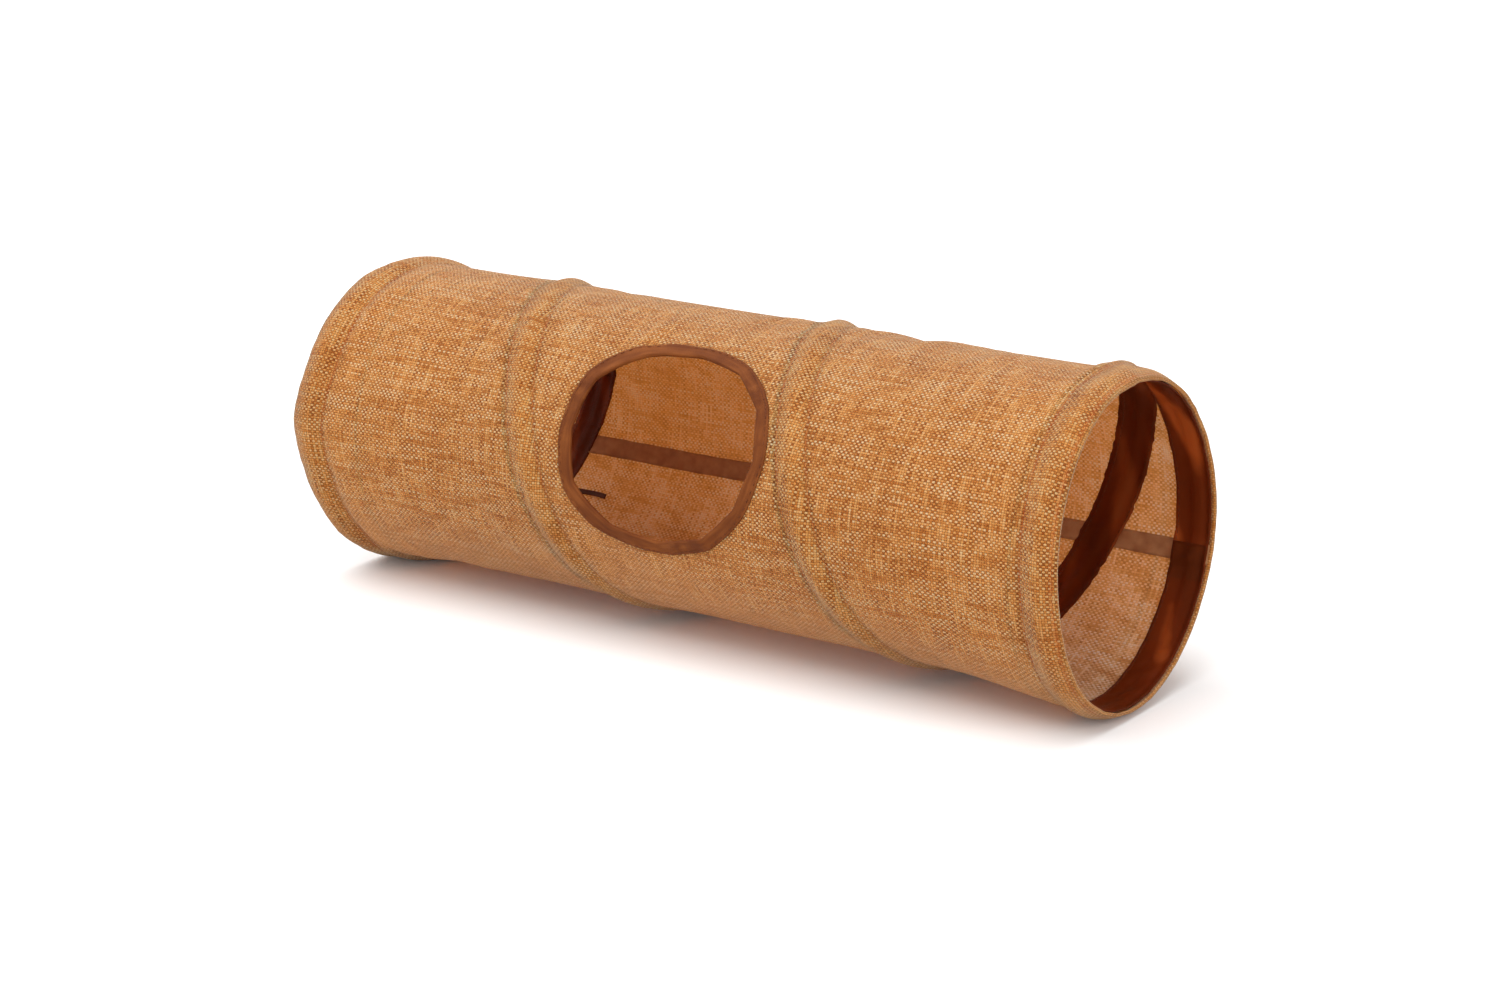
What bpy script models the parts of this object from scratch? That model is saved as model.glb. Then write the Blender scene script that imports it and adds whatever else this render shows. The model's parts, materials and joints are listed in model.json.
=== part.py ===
"""Collapsible small animal tunnel: one spring-steel coil sewn into a woven cloth sleeve.

Metres, +Z up. The tunnel lies along X on the floor at Z = 0, centred on the origin.
Places are given as along, the distance from the rim at -X, and turn, the degrees travelled
round the wall from the bottom towards +Y: 90 is the +Y side, 180 the top, 270 the -Y side.
"""

import math

import bmesh
import bpy
from mathutils import Vector
from mathutils.bvhtree import BVHTree

# The tunnel and its cloth
TUNNEL_LENGTH = 0.500
TUNNEL_DIAMETER = 0.180
CLOTH_THICKNESS = 0.0008
CLOTH_SAG = 0.0030
RIDGE_SAG_SHARE = 0.7
RIDGE_HALF_WIDTH = 0.012
REST_FLAT_DEPTH = 0.0012
SEWING_GAP = 0.0003
TAPE_GAP = 0.0005
COLUMNS = 32
SHORTEST_STRIP = 0.003

# The spring-steel coil: a ring at each mouth, joined by a right-handed helix
WIRE_DIAMETER = 0.0020
WIRE_STANDOFF = 0.0009
RING_INSET = 0.011
RING_LAP_SPACING = 0.003
RING_LAP_TURN = 30
LEAVES_LEFT_RING = -45
JOINS_RIGHT_RING = 900
FULL_TURN = 360
POINTS_PER_LOOP = 24

# The crimped ferrule that closes each ring
FERRULE_WALL = 0.0004
FERRULE_LENGTH = 0.012
FERRULE_CORNER_POINTS = 8

# The tape facing inside each mouth
FACING_WIDTH = 0.023
FACING_THICKNESS = 0.0005
RIM_MARGIN = 0.0006
HEM_FLAT_BEYOND_RING = 0.005
WIRE_COVER = 0.006
WIRE_COVER_RAMP = 0.004
FACING_ROW_STEP = 0.003

# The tape casing that carries the helix
CASING_WIDTH = 0.020
CASING_THICKNESS = 0.0005
CASING_CREST_HALF = 0.0018
CASING_STITCH_INSET = 0.0015
CASING_STEP = 0.0004

# The strip that covers the lengthwise seam of the sleeve
SEAM_TURN = 70
SEAM_TAPE_WIDTH = 0.012
SEAM_TAPE_THICKNESS = 0.0005
SEAM_RAMP = 0.003

# The peephole in the -Y side, measured along the cloth, and its folded binding
PEEPHOLE_ALONG = 0.2525
PEEPHOLE_TURN = 248.5
PEEPHOLE_LENGTH = 0.122
PEEPHOLE_HEIGHT = 0.108
PEEPHOLE_LEFT_POWER = 2.5
PEEPHOLE_RIGHT_POWER = 1.95
PEEPHOLE_POINTS = 56
BINDING_WIDTH = 0.008
BINDING_THICKNESS = 0.0006
BINDING_GAP = 0.0007
CUT_OVERRUN = 0.020

# The ribbon end that hangs out of the first casing
RIBBON_TURN = 48
RIBBON_WIDTH = 0.0033
RIBBON_LENGTH = 0.036
RIBBON_POINTS = 6
RIBBON_CURVE = 0.0012

# Places worked out from the sizes above
RADIUS = TUNNEL_DIAMETER / 2
WIRE_RADIUS = WIRE_DIAMETER / 2
AXIS_HEIGHT = RADIUS - REST_FLAT_DEPTH
HELIX_RUN = TUNNEL_LENGTH - 2 * RING_INSET
HELIX_RATE = HELIX_RUN / (JOINS_RIGHT_RING - LEAVES_LEFT_RING)
PITCH = HELIX_RATE * FULL_TURN
COIL_START = LEAVES_LEFT_RING - FULL_TURN - RING_LAP_TURN
COIL_END = JOINS_RIGHT_RING + FULL_TURN + RING_LAP_TURN
POINT_TURN = FULL_TURN / POINTS_PER_LOOP
COLUMN_TURN = FULL_TURN / COLUMNS
COIL_DEPTH = CLOTH_THICKNESS + WIRE_STANDOFF + WIRE_RADIUS
HEM_FLAT_END = RING_INSET + HEM_FLAT_BEYOND_RING
RIDGE_FEET = (-RIDGE_HALF_WIDTH, 0, RIDGE_HALF_WIDTH, PITCH / 2)
SEAM_RISE = SEAM_TAPE_THICKNESS + SEWING_GAP
SEAM_HALF_TURN = math.degrees((SEAM_TAPE_WIDTH / 2 + SEWING_GAP) / RADIUS)
SEAM_RAMP_TURN = math.degrees(SEAM_RAMP / RADIUS)
FLAT_HALF_TURN = math.degrees(math.acos(AXIS_HEIGHT / RADIUS))


def wall_point(along, turn, radius):
    """The point in space at this place on the wall and this distance from the axis."""
    angle = math.radians(turn)
    return Vector(
        (along - TUNNEL_LENGTH / 2, radius * math.sin(angle), AXIS_HEIGHT - radius * math.cos(angle))
    )


def crest_radius(turn):
    """Radius over the coil: round, but flat where the tunnel lies on the floor."""
    down = math.cos(math.radians(turn))
    if down <= 0:
        return RADIUS
    return min(RADIUS, AXIS_HEIGHT / down)


def turn_between(turn, other):
    """The degrees from one turn to another, by the shorter way."""
    return abs((turn - other + FULL_TURN / 2) % FULL_TURN - FULL_TURN / 2)


def coil_along(turn):
    """Where the wire is along the tunnel after this much turn, counted through all its loops."""
    if turn < LEAVES_LEFT_RING:
        return RING_INSET - RING_LAP_SPACING * (LEAVES_LEFT_RING - turn) / FULL_TURN
    if turn > JOINS_RIGHT_RING:
        return TUNNEL_LENGTH - RING_INSET + RING_LAP_SPACING * (turn - JOINS_RIGHT_RING) / FULL_TURN
    return RING_INSET + HELIX_RATE * (turn - LEAVES_LEFT_RING)


def coil_passes(turn, start=COIL_START, end=COIL_END):
    """Each place along the tunnel where the wire passes this turn."""
    first = math.ceil((start - turn) / FULL_TURN)
    last = math.floor((end - turn) / FULL_TURN)
    return [coil_along(turn + FULL_TURN * loop) for loop in range(first, last + 1)]


def coil_radius(turn):
    """Distance from the axis to the middle of the wire, which runs straight between its points."""
    before = math.floor(turn / POINT_TURN) * POINT_TURN
    ends = []
    for corner in (before, before + POINT_TURN):
        reach = crest_radius(corner) - COIL_DEPTH
        ends.append((reach * math.sin(math.radians(corner)), reach * math.cos(math.radians(corner))))
    (first_y, first_z), (second_y, second_z) = ends
    run_y, run_z = second_y - first_y, second_z - first_z
    angle = math.radians(turn)
    return (first_y * run_z - first_z * run_y) / (math.sin(angle) * run_z - math.cos(angle) * run_y)


def under_wire_radius(turn):
    """The largest radius at which a tape passes inside the wire with its gap."""
    half_point = math.radians(POINT_TURN / 2)
    smooth = (crest_radius(turn) - COIL_DEPTH) * math.cos(half_point)
    return min(smooth, coil_radius(turn)) - WIRE_RADIUS - SEWING_GAP


def sag_at(along, turn):
    """How far the cloth lies inside the crest: little over a wire, most half way to the next."""
    hems = [max(0, rim_distance - HEM_FLAT_END) for rim_distance in (along, TUNNEL_LENGTH - along)]
    helix = coil_passes(turn, LEAVES_LEFT_RING, JOINS_RIGHT_RING)
    distance = min(hems + [abs(along - wire) for wire in helix])
    ridge_sag = CLOTH_SAG * RIDGE_SAG_SHARE
    if distance < RIDGE_HALF_WIDTH:
        return ridge_sag * distance / RIDGE_HALF_WIDTH
    beyond = (distance - RIDGE_HALF_WIDTH) / (PITCH / 2 - RIDGE_HALF_WIDTH)
    return ridge_sag + (CLOTH_SAG - ridge_sag) * min(1, beyond)


def seam_swell(turn):
    """The sleeve stands out over the seam tape, so the coil passes inside the tape unbent."""
    beyond = (turn_between(turn, SEAM_TURN) - SEAM_HALF_TURN) / SEAM_RAMP_TURN
    return SEAM_RISE * min(1, max(0, 1 - beyond))


def sleeve_radius(along, turn):
    return crest_radius(turn) + seam_swell(turn) - sag_at(along, turn)


def sleeve_columns():
    """The turns at which the walls have an edge: even steps, and the edges of the flat and the seam."""
    seam_reach = SEAM_HALF_TURN + SEAM_RAMP_TURN
    turns = [0, FLAT_HALF_TURN, FULL_TURN - FLAT_HALF_TURN]
    turns += [SEAM_TURN + side * reach for side in (-1, 1) for reach in (SEAM_HALF_TURN, seam_reach)]
    for turn in [COLUMN_TURN * column for column in range(COLUMNS)]:
        clear_of_flat = turn_between(turn, 0) > FLAT_HALF_TURN + COLUMN_TURN / 4
        clear_of_seam = turn_between(turn, SEAM_TURN) > seam_reach + COLUMN_TURN / 4
        if clear_of_flat and clear_of_seam:
            turns.append(turn)
    return sorted(turns)


def ridge_stations(turn):
    """Places along the tunnel that follow the helix: each crest, its two feet and the sag between."""
    loops = math.ceil(TUNNEL_LENGTH / PITCH)
    crest = coil_along(LEAVES_LEFT_RING) + HELIX_RATE * (turn - LEAVES_LEFT_RING)
    return [crest + PITCH * loop + foot for loop in range(-loops, loops + 1) for foot in RIDGE_FEET]


def held_between(places, low, high):
    """The places moved onto the low or high end where they pass it or come within a short strip."""
    held = []
    for place in places:
        if place < low + SHORTEST_STRIP:
            place = low
        if place > high - SHORTEST_STRIP:
            place = high
        held.append(place)
    return held


def hem_rows(turn, rim):
    """The rows of a full-length wall: the rims, the flat hems and the stations between them."""
    low, high = HEM_FLAT_END, TUNNEL_LENGTH - HEM_FLAT_END
    middle = held_between(ridge_stations(turn), low, high)
    return [rim, low, *middle, high, TUNNEL_LENGTH - rim]


def new_object(name, mesh, material):
    mesh.materials.append(material)
    made = bpy.data.objects.new(name, mesh)
    bpy.context.scene.collection.objects.link(made)
    return made


def wall_mesh(name, columns, outer, thickness, closed_shift=None):
    """A thin closed wall. columns is a list of (turn, rows along); outer gives the outer radius.

    Rows that share a place share a point. closed_shift joins the last column to the first, with
    the rows between the rims taken that many on, as a helix needs after one turn.
    """
    bm = bmesh.new()
    points, partners = {}, {}

    def corner(column, row):
        turn, rows = columns[column]
        key = (column, rows[row])
        if key not in points:
            radius = outer(rows[row], turn)
            points[key] = bm.verts.new(wall_point(rows[row], turn, radius))
            partners[points[key]] = bm.verts.new(wall_point(rows[row], turn, radius - thickness))
        return points[key]

    steps = [(column, column + 1, 0) for column in range(len(columns) - 1)]
    if closed_shift is not None:
        steps.append((len(columns) - 1, 0, closed_shift))
    for here, there, shift in steps:
        count = len(columns[here][1])
        last = count - 1
        for row in range(last):
            near, far = [
                place if place in (0, last) else min(place + shift, last - 1) for place in (row, row + 1)
            ]
            quad = [corner(here, row), corner(there, near), corner(there, far), corner(here, row + 1)]
            ring = [vert for place, vert in enumerate(quad) if vert is not quad[place - 1]]
            if len(ring) > 2:
                bm.faces.new(ring)
                bm.faces.new([partners[vert] for vert in reversed(ring)])
    outer_verts = set(partners)
    for edge in [edge for edge in bm.edges if edge.is_boundary and edge.verts[0] in outer_verts]:
        loop = edge.link_loops[0]
        first, second = loop.vert, loop.link_loop_next.vert
        bm.faces.new([second, first, partners[first], partners[second]])
    mesh = bpy.data.meshes.new(name)
    bm.to_mesh(mesh)
    bm.free()
    return mesh


def wall_tree(mesh):
    """A search tree over a wall, to read the radius of its true facets."""
    bm = bmesh.new()
    bm.from_mesh(mesh)
    tree = BVHTree.FromBMesh(bm)
    bm.free()
    return tree


def read_radius(tree, along, turn, from_outside):
    """The radius of the wall's outer or inner face at this place."""
    axis_point = wall_point(along, turn, 0)
    outward = wall_point(along, turn, RADIUS) - axis_point
    start, direction = (axis_point + 2 * outward, -outward) if from_outside else (axis_point, outward)
    hit = tree.ray_cast(start, direction.normalized())[0]
    return (hit - axis_point).length


def outer_face(tree, along, turn):
    return read_radius(tree, along, turn, from_outside=True)


def inner_face(tree, along, turn):
    return read_radius(tree, along, turn, from_outside=False)


def tape_back(tree, along, turn, wires, cover, ramp, spare=0):
    """Radius of a sewn tape's back: on the cloth, but drawn in to pass over the nearest wire.

    The tape stands its full way in over cover, and comes back to the cloth over ramp.
    """
    cloth = inner_face(tree, along, turn) - seam_swell(turn) - TAPE_GAP
    over_wire = under_wire_radius(turn) - spare
    distance = min(abs(along - wire) for wire in wires)
    stand = min(1, max(0, 1 - (distance - cover) / ramp))
    return min(cloth, cloth + (over_wire - cloth) * stand)


def plain_material(name, colour, roughness, metallic=0.0):
    made = bpy.data.materials.new(name)
    made.use_nodes = True
    shader = made.node_tree.nodes["Principled BSDF"]
    shader.inputs["Base Color"].default_value = (*colour, 1.0)
    shader.inputs["Roughness"].default_value = roughness
    shader.inputs["Metallic"].default_value = metallic
    return made


def woven_cloth():
    return plain_material("woven_cloth", (0.55, 0.28, 0.11), 0.9)


def satin_tape():
    return plain_material("satin_tape", (0.11, 0.026, 0.010), 0.45)


def binding_tape():
    return plain_material("binding_tape", (0.22, 0.075, 0.032), 0.75)


def twill_tape():
    return plain_material("twill_tape", (0.20, 0.10, 0.05), 0.85)


def spring_steel():
    return plain_material("spring_steel", (0.46, 0.45, 0.44), 0.35, 1.0)


def plated_crimp():
    return plain_material("plated_crimp", (0.62, 0.60, 0.57), 0.4, 1.0)


def dark_ribbon():
    return plain_material("dark_ribbon", (0.075, 0.022, 0.010), 0.5)


def peephole_place(share, margin):
    """A point of the peephole's outline, margin outside the clear opening, along the cloth."""
    angle = math.tau * share
    side, rise = math.cos(angle), math.sin(angle)
    power = PEEPHOLE_RIGHT_POWER if side > 0 else PEEPHOLE_LEFT_POWER
    reach = (abs(side) ** power + abs(rise) ** power) ** (-1 / power)
    ahead = (PEEPHOLE_LENGTH / 2 + margin) * reach * side
    up = (PEEPHOLE_HEIGHT / 2 + margin) * reach * rise
    return PEEPHOLE_ALONG + ahead, PEEPHOLE_TURN - math.degrees(up / RADIUS)


def peephole_cutter():
    """A plug with the outline of the cut cloth, pointing out from the axis."""
    margin = BINDING_THICKNESS + BINDING_GAP
    bm = bmesh.new()
    rings = []
    for radius in (RADIUS - CUT_OVERRUN, RADIUS + CUT_OVERRUN):
        places = [peephole_place(step / PEEPHOLE_POINTS, margin) for step in range(PEEPHOLE_POINTS)]
        ring = [bm.verts.new(wall_point(along, turn, radius)) for along, turn in places]
        centre = bm.verts.new(wall_point(PEEPHOLE_ALONG, PEEPHOLE_TURN, radius))
        rings.append((ring, centre))
    (inner, inner_centre), (outer, outer_centre) = rings
    for step in range(PEEPHOLE_POINTS):
        after = (step + 1) % PEEPHOLE_POINTS
        bm.faces.new((inner[step], inner[after], outer[after], outer[step]))
        bm.faces.new((inner[after], inner[step], inner_centre))
        bm.faces.new((outer[step], outer[after], outer_centre))
    bmesh.ops.recalc_face_normals(bm, faces=bm.faces)
    mesh = bpy.data.meshes.new("peephole_cutter")
    bm.to_mesh(mesh)
    bm.free()
    cutter = bpy.data.objects.new("peephole_cutter", mesh)
    bpy.context.scene.collection.objects.link(cutter)
    cutter.hide_render = True
    cutter.display_type = "WIRE"
    return cutter


def make_sleeve():
    """The woven tube. Its cloth rides up over each wire and sags between, and has one peephole."""
    columns = [(turn, hem_rows(turn, 0)) for turn in sleeve_columns()]
    mesh = wall_mesh("sleeve", columns, sleeve_radius, CLOTH_THICKNESS, closed_shift=len(RIDGE_FEET))
    tree = wall_tree(mesh)
    sleeve = new_object("sleeve", mesh, woven_cloth())
    cut = sleeve.modifiers.new("peephole", "BOOLEAN")
    cut.operation = "DIFFERENCE"
    cut.solver = "EXACT"
    cut.object = peephole_cutter()
    return tree


def make_seam_tape(tree):
    """The strip sewn over the raw edges of the lengthwise seam, under the coil's tapes."""
    half_turn = math.degrees(SEAM_TAPE_WIDTH / 2 / RADIUS)
    columns = [
        (turn, hem_rows(turn, RIM_MARGIN))
        for turn in (SEAM_TURN - half_turn, SEAM_TURN, SEAM_TURN + half_turn)
    ]

    def back(along, turn):
        return inner_face(tree, along, turn) - SEWING_GAP

    mesh = wall_mesh("seam_tape", columns, back, SEAM_TAPE_THICKNESS)
    new_object("seam_tape", mesh, twill_tape())


def coil_points():
    steps = round((COIL_END - COIL_START) / POINT_TURN)
    turns = [COIL_START + POINT_TURN * step for step in range(steps + 1)]
    return [wall_point(coil_along(turn), turn, coil_radius(turn)) for turn in turns]


def least_gap(points):
    """The least clear gap between turns of the wire, measured on its points and half way between."""
    middles = [(first + second) / 2 for first, second in zip(points, points[1:])]
    dense = [point for pair in zip(points, middles) for point in pair]
    neighbours = POINTS_PER_LOOP
    gaps = [
        (dense[i] - dense[j]).length for i in range(len(dense)) for j in range(i + neighbours, len(dense))
    ]
    return min(gaps) - WIRE_DIAMETER


def make_coil_wire():
    """One unbroken spring wire: the ring at one mouth, the helix, and the ring at the other."""
    points = coil_points()
    curve = bpy.data.curves.new("coil_wire", "CURVE")
    curve.dimensions = "3D"
    curve.bevel_depth = WIRE_RADIUS
    curve.bevel_resolution = 1
    curve.use_fill_caps = True
    spline = curve.splines.new("POLY")
    spline.points.add(len(points) - 1)
    for target, point in zip(spline.points, points):
        target.co = (*point, 1)
    new_object("coil_wire", curve, spring_steel())
    print(f"coil_wire: least gap between its turns {least_gap(points):.5f} m")


def make_ferrule(name, first_turn, second_turn):
    """An oval sleeve crimped over the wire's end and the loop beside it, on a straight of the coil."""
    ends = [wall_point(coil_along(turn), turn, coil_radius(turn)) for turn in (first_turn, second_turn)]
    beside = wall_point(coil_along(first_turn + FULL_TURN), first_turn, coil_radius(first_turn)) - ends[0]
    middle = (ends[0] + ends[1]) / 2 + beside / 2
    run = (ends[1] - ends[0]).normalized()
    across = (beside - beside.dot(run) * run).normalized()
    depth = run.cross(across)
    bore = WIRE_RADIUS + SEWING_GAP
    half_spacing = RING_LAP_SPACING / 2
    bm = bmesh.new()
    loops = {}
    for end in (-1, 1):
        for skin, radius in (("bore", bore), ("outside", bore + FERRULE_WALL)):
            loop = []
            for side in (1, -1):
                for step in range(FERRULE_CORNER_POINTS + 1):
                    angle = math.pi * (step / FERRULE_CORNER_POINTS - 0.5)
                    sideways = side * (half_spacing + radius * math.cos(angle))
                    upwards = side * radius * math.sin(angle)
                    place = middle + across * sideways + depth * upwards + run * (end * FERRULE_LENGTH / 2)
                    loop.append(bm.verts.new(place))
            loops[end, skin] = loop
    count = len(loops[1, "bore"])
    for step in range(count):
        after = (step + 1) % count
        for first, second in (
            (loops[-1, "outside"], loops[1, "outside"]),
            (loops[1, "outside"], loops[1, "bore"]),
            (loops[1, "bore"], loops[-1, "bore"]),
            (loops[-1, "bore"], loops[-1, "outside"]),
        ):
            bm.faces.new((first[step], first[after], second[after], second[step]))
    bmesh.ops.recalc_face_normals(bm, faces=bm.faces)
    mesh = bpy.data.meshes.new(name)
    bm.to_mesh(mesh)
    bm.free()
    new_object(name, mesh, plated_crimp())


def facing_rows():
    """Places across a facing, from its edge at the rim: the stand over the ring and a flat edge."""
    over_start = RING_INSET - RING_LAP_SPACING - WIRE_DIAMETER
    over_end = RING_INSET + WIRE_DIAMETER
    ramps = [over_start - FACING_ROW_STEP, over_start, over_end, over_end + FACING_ROW_STEP]
    return [RIM_MARGIN, *ramps, FACING_WIDTH]


def make_facing(name, tree, from_rim):
    """Satin tape sewn round the inside of a mouth. It holds the ring against the cloth."""

    def back(along, turn):
        ferrule_depth = FERRULE_WALL + SEWING_GAP
        return tape_back(tree, along, turn, coil_passes(turn), WIRE_COVER, WIRE_COVER_RAMP, ferrule_depth)

    columns = [(turn, sorted(from_rim(row) for row in facing_rows())) for turn in sleeve_columns()]
    mesh = wall_mesh(name, columns, back, FACING_THICKNESS, closed_shift=0)
    new_object(name, mesh, satin_tape())


def casing_rows(turn):
    """Places across the casing. Its ends are cut along the facings that it runs under."""
    wire = coil_along(turn)
    half = (CASING_WIDTH / 2, CASING_WIDTH / 2 - CASING_STITCH_INSET, CASING_CREST_HALF)
    offsets = [-offset for offset in half] + list(reversed(half))
    low, high = FACING_WIDTH + SEWING_GAP, TUNNEL_LENGTH - FACING_WIDTH - SEWING_GAP
    rows = []
    for place, offset in enumerate(offsets):
        rows.append(min(
            max(wire + offset, low + CASING_STEP * place),
            high - CASING_STEP * (len(offsets) - 1 - place),
        ))
    return rows


def make_coil_casing(tree):
    """Satin tape sewn down along both edges over the helix, all the way from facing to facing."""
    short_of_ring = (FACING_WIDTH - RING_INSET - CASING_WIDTH / 4) / HELIX_RATE
    start, end = LEAVES_LEFT_RING + short_of_ring, JOINS_RIGHT_RING - short_of_ring
    loops = range(math.floor(start / FULL_TURN), math.ceil(end / FULL_TURN) + 1)
    turns = [turn + FULL_TURN * loop for loop in loops for turn in sleeve_columns()]
    margin = COLUMN_TURN / 4
    turns = [start, *[turn for turn in turns if start + margin < turn < end - margin], end]

    def back(along, turn):
        ramp = CASING_WIDTH / 2 - CASING_STITCH_INSET - CASING_CREST_HALF
        return tape_back(tree, along, turn, [coil_along(turn)], CASING_CREST_HALF, ramp)

    columns = [(turn, casing_rows(turn)) for turn in turns]
    mesh = wall_mesh("coil_casing", columns, back, CASING_THICKNESS)
    new_object("coil_casing", mesh, satin_tape())


def make_peephole_binding(tree):
    """Bias tape folded over the cut edge of the peephole and sewn through, inside and out."""
    edge = BINDING_THICKNESS + BINDING_GAP
    skins = []
    for margin in (0, BINDING_THICKNESS, BINDING_WIDTH):
        skins.append([peephole_place(step / PEEPHOLE_POINTS, margin) for step in range(PEEPHOLE_POINTS)])
    cloth_edge = [peephole_place(step / PEEPHOLE_POINTS, edge) for step in range(PEEPHOLE_POINTS)]
    bm = bmesh.new()
    sections = []
    for step in range(PEEPHOLE_POINTS):
        fold, web, leg = (skin[step] for skin in skins)
        section = []
        for face, side in ((outer_face, 1), (inner_face, -1)):
            at_edge, at_leg = face(tree, *cloth_edge[step]), face(tree, *leg)
            near, far = side * BINDING_GAP, side * (BINDING_GAP + BINDING_THICKNESS)
            half = [
                wall_point(*fold, at_edge + far),
                wall_point(*leg, at_leg + far),
                wall_point(*leg, at_leg + near),
                wall_point(*web, at_edge + near),
            ]
            section += half if side > 0 else half[::-1]
        sections.append([bm.verts.new(point) for point in section])
    count = len(sections[0])
    for step in range(PEEPHOLE_POINTS):
        here, there = sections[step], sections[(step + 1) % PEEPHOLE_POINTS]
        for place in range(count):
            after = (place + 1) % count
            bm.faces.new((here[place], there[place], there[after], here[after]))
    bmesh.ops.recalc_face_normals(bm, faces=bm.faces)
    mesh = bpy.data.meshes.new("peephole_binding")
    bm.to_mesh(mesh)
    bm.free()
    new_object("peephole_binding", mesh, binding_tape())


def make_ribbon_tail(tree):
    """A loose ribbon end caught under the edge of the first casing, lying along the wall."""
    slant = HELIX_RATE * math.degrees(RIBBON_WIDTH / 2 / RADIUS)
    start = coil_along(RIBBON_TURN) + CASING_WIDTH / 2 + slant + SEWING_GAP
    curve = bpy.data.curves.new("ribbon_tail", "CURVE")
    curve.dimensions = "3D"
    curve.bevel_depth = RIBBON_WIDTH / 2
    curve.bevel_resolution = 2
    curve.use_fill_caps = True
    spline = curve.splines.new("POLY")
    spline.points.add(RIBBON_POINTS - 1)
    for step, target in enumerate(spline.points):
        share = step / (RIBBON_POINTS - 1)
        along = start + RIBBON_LENGTH * share
        turn = RIBBON_TURN + math.degrees(RIBBON_CURVE * math.sin(math.pi * share) / RADIUS)
        radius = inner_face(tree, along, turn) - RIBBON_WIDTH / 2 - TAPE_GAP
        target.co = (*wall_point(along, turn, radius), 1)
    new_object("ribbon_tail", curve, dark_ribbon())


def shade_round():
    for made in bpy.context.scene.objects:
        if made.type == "MESH":
            made.data.shade_smooth()
            made.data.set_sharp_from_angle(angle=math.radians(30))


def main():
    for old in list(bpy.data.objects):
        bpy.data.objects.remove(old, do_unlink=True)
    tree = make_sleeve()
    make_seam_tape(tree)
    make_coil_wire()
    make_ferrule("left_ring_ferrule", COIL_START, COIL_START + POINT_TURN)
    make_ferrule("right_ring_ferrule", JOINS_RIGHT_RING + POINT_TURN, JOINS_RIGHT_RING + 2 * POINT_TURN)
    make_facing("left_mouth_facing", tree, lambda row: row)
    make_facing("right_mouth_facing", tree, lambda row: TUNNEL_LENGTH - row)
    make_coil_casing(tree)
    make_peephole_binding(tree)
    make_ribbon_tail(tree)
    shade_round()


main()
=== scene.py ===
import json
import math

import bmesh
import bpy
from mathutils import Matrix, Vector, noise


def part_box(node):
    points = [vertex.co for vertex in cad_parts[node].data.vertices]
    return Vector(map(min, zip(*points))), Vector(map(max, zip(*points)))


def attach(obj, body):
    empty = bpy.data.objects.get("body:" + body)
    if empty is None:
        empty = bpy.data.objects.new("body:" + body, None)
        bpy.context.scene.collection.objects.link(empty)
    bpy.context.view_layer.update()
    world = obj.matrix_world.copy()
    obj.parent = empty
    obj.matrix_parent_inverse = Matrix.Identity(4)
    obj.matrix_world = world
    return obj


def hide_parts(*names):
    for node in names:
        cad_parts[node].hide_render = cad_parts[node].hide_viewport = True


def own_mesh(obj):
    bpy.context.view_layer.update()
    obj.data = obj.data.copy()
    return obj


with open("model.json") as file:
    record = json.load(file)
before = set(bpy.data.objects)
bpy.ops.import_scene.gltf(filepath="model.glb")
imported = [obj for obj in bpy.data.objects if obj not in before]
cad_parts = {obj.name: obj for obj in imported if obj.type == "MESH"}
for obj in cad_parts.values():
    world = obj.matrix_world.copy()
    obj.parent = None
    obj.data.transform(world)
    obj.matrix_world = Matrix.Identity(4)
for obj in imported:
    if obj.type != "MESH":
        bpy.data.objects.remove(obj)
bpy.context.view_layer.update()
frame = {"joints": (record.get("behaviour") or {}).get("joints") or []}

# The sleeve's lie. The tunnel is one rectangle of cloth, rolled up and seamed on the far side. Every
# piece here is first laid out flat, in metres along the tunnel, metres round it and metres of lift
# off the cloth's outer face. Then it is rolled up with the cloth, so whatever is sewn on follows it.
sleeve_low, sleeve_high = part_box("sleeve")
LENGTH = sleeve_high.x - sleeve_low.x
RADIUS = (sleeve_high.y - sleeve_low.y) / 2
AXIS_HEIGHT = 0.0888
CIRCUMFERENCE = math.tau * RADIUS
CLOTH = 0.0008
CLOTH_SAG = 0.0034
RIDGE_WIDTH, RIDGE_SHARE = 0.0065, 0.68
SLACK_WIDTH = 0.013

# The wire's run: a ring near each mouth, and the helix that leaves one near the floor and joins the
# other at the top.
RING_INSET = 0.011
LEAVES_LEFT_RING, JOINS_RIGHT_RING = math.radians(-45), math.radians(900)
HELIX_RATE = (LENGTH - 2 * RING_INSET) / (JOINS_RIGHT_RING - LEAVES_LEFT_RING)
STITCH_ROW = 0.0095
FACING_ROW = 0.011
GROOVE_DEPTH, HEM_GROOVE_DEPTH, GROOVE_WIDTH = 0.00050, 0.00070, 0.0030
PUCKER_DEPTH, PUCKER_WIDTH, PUCKER_LENGTH, PUCKER_ALONG = 0.00045, 0.0065, 0.0075, 0.02

# Between the wires the cloth is slack. It waves gently, and here and there it lies in shallow folds,
# which are deepest along the top.
WAVE_DEPTH, WAVE_SIZE = 0.0011, 0.060
FOLD_DEPTH, TOP_FOLD_DEPTH, TOP_FOLD_SPREAD = 0.0012, 0.0012, 0.6
FOLD_ALONG, FOLD_ROUND, FOLD_SLANT = 0.013, 0.060, 0.018
PATCH_SIZE, PATCH_FROM, PATCH_TO = 0.070, -0.05, 0.35

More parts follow.
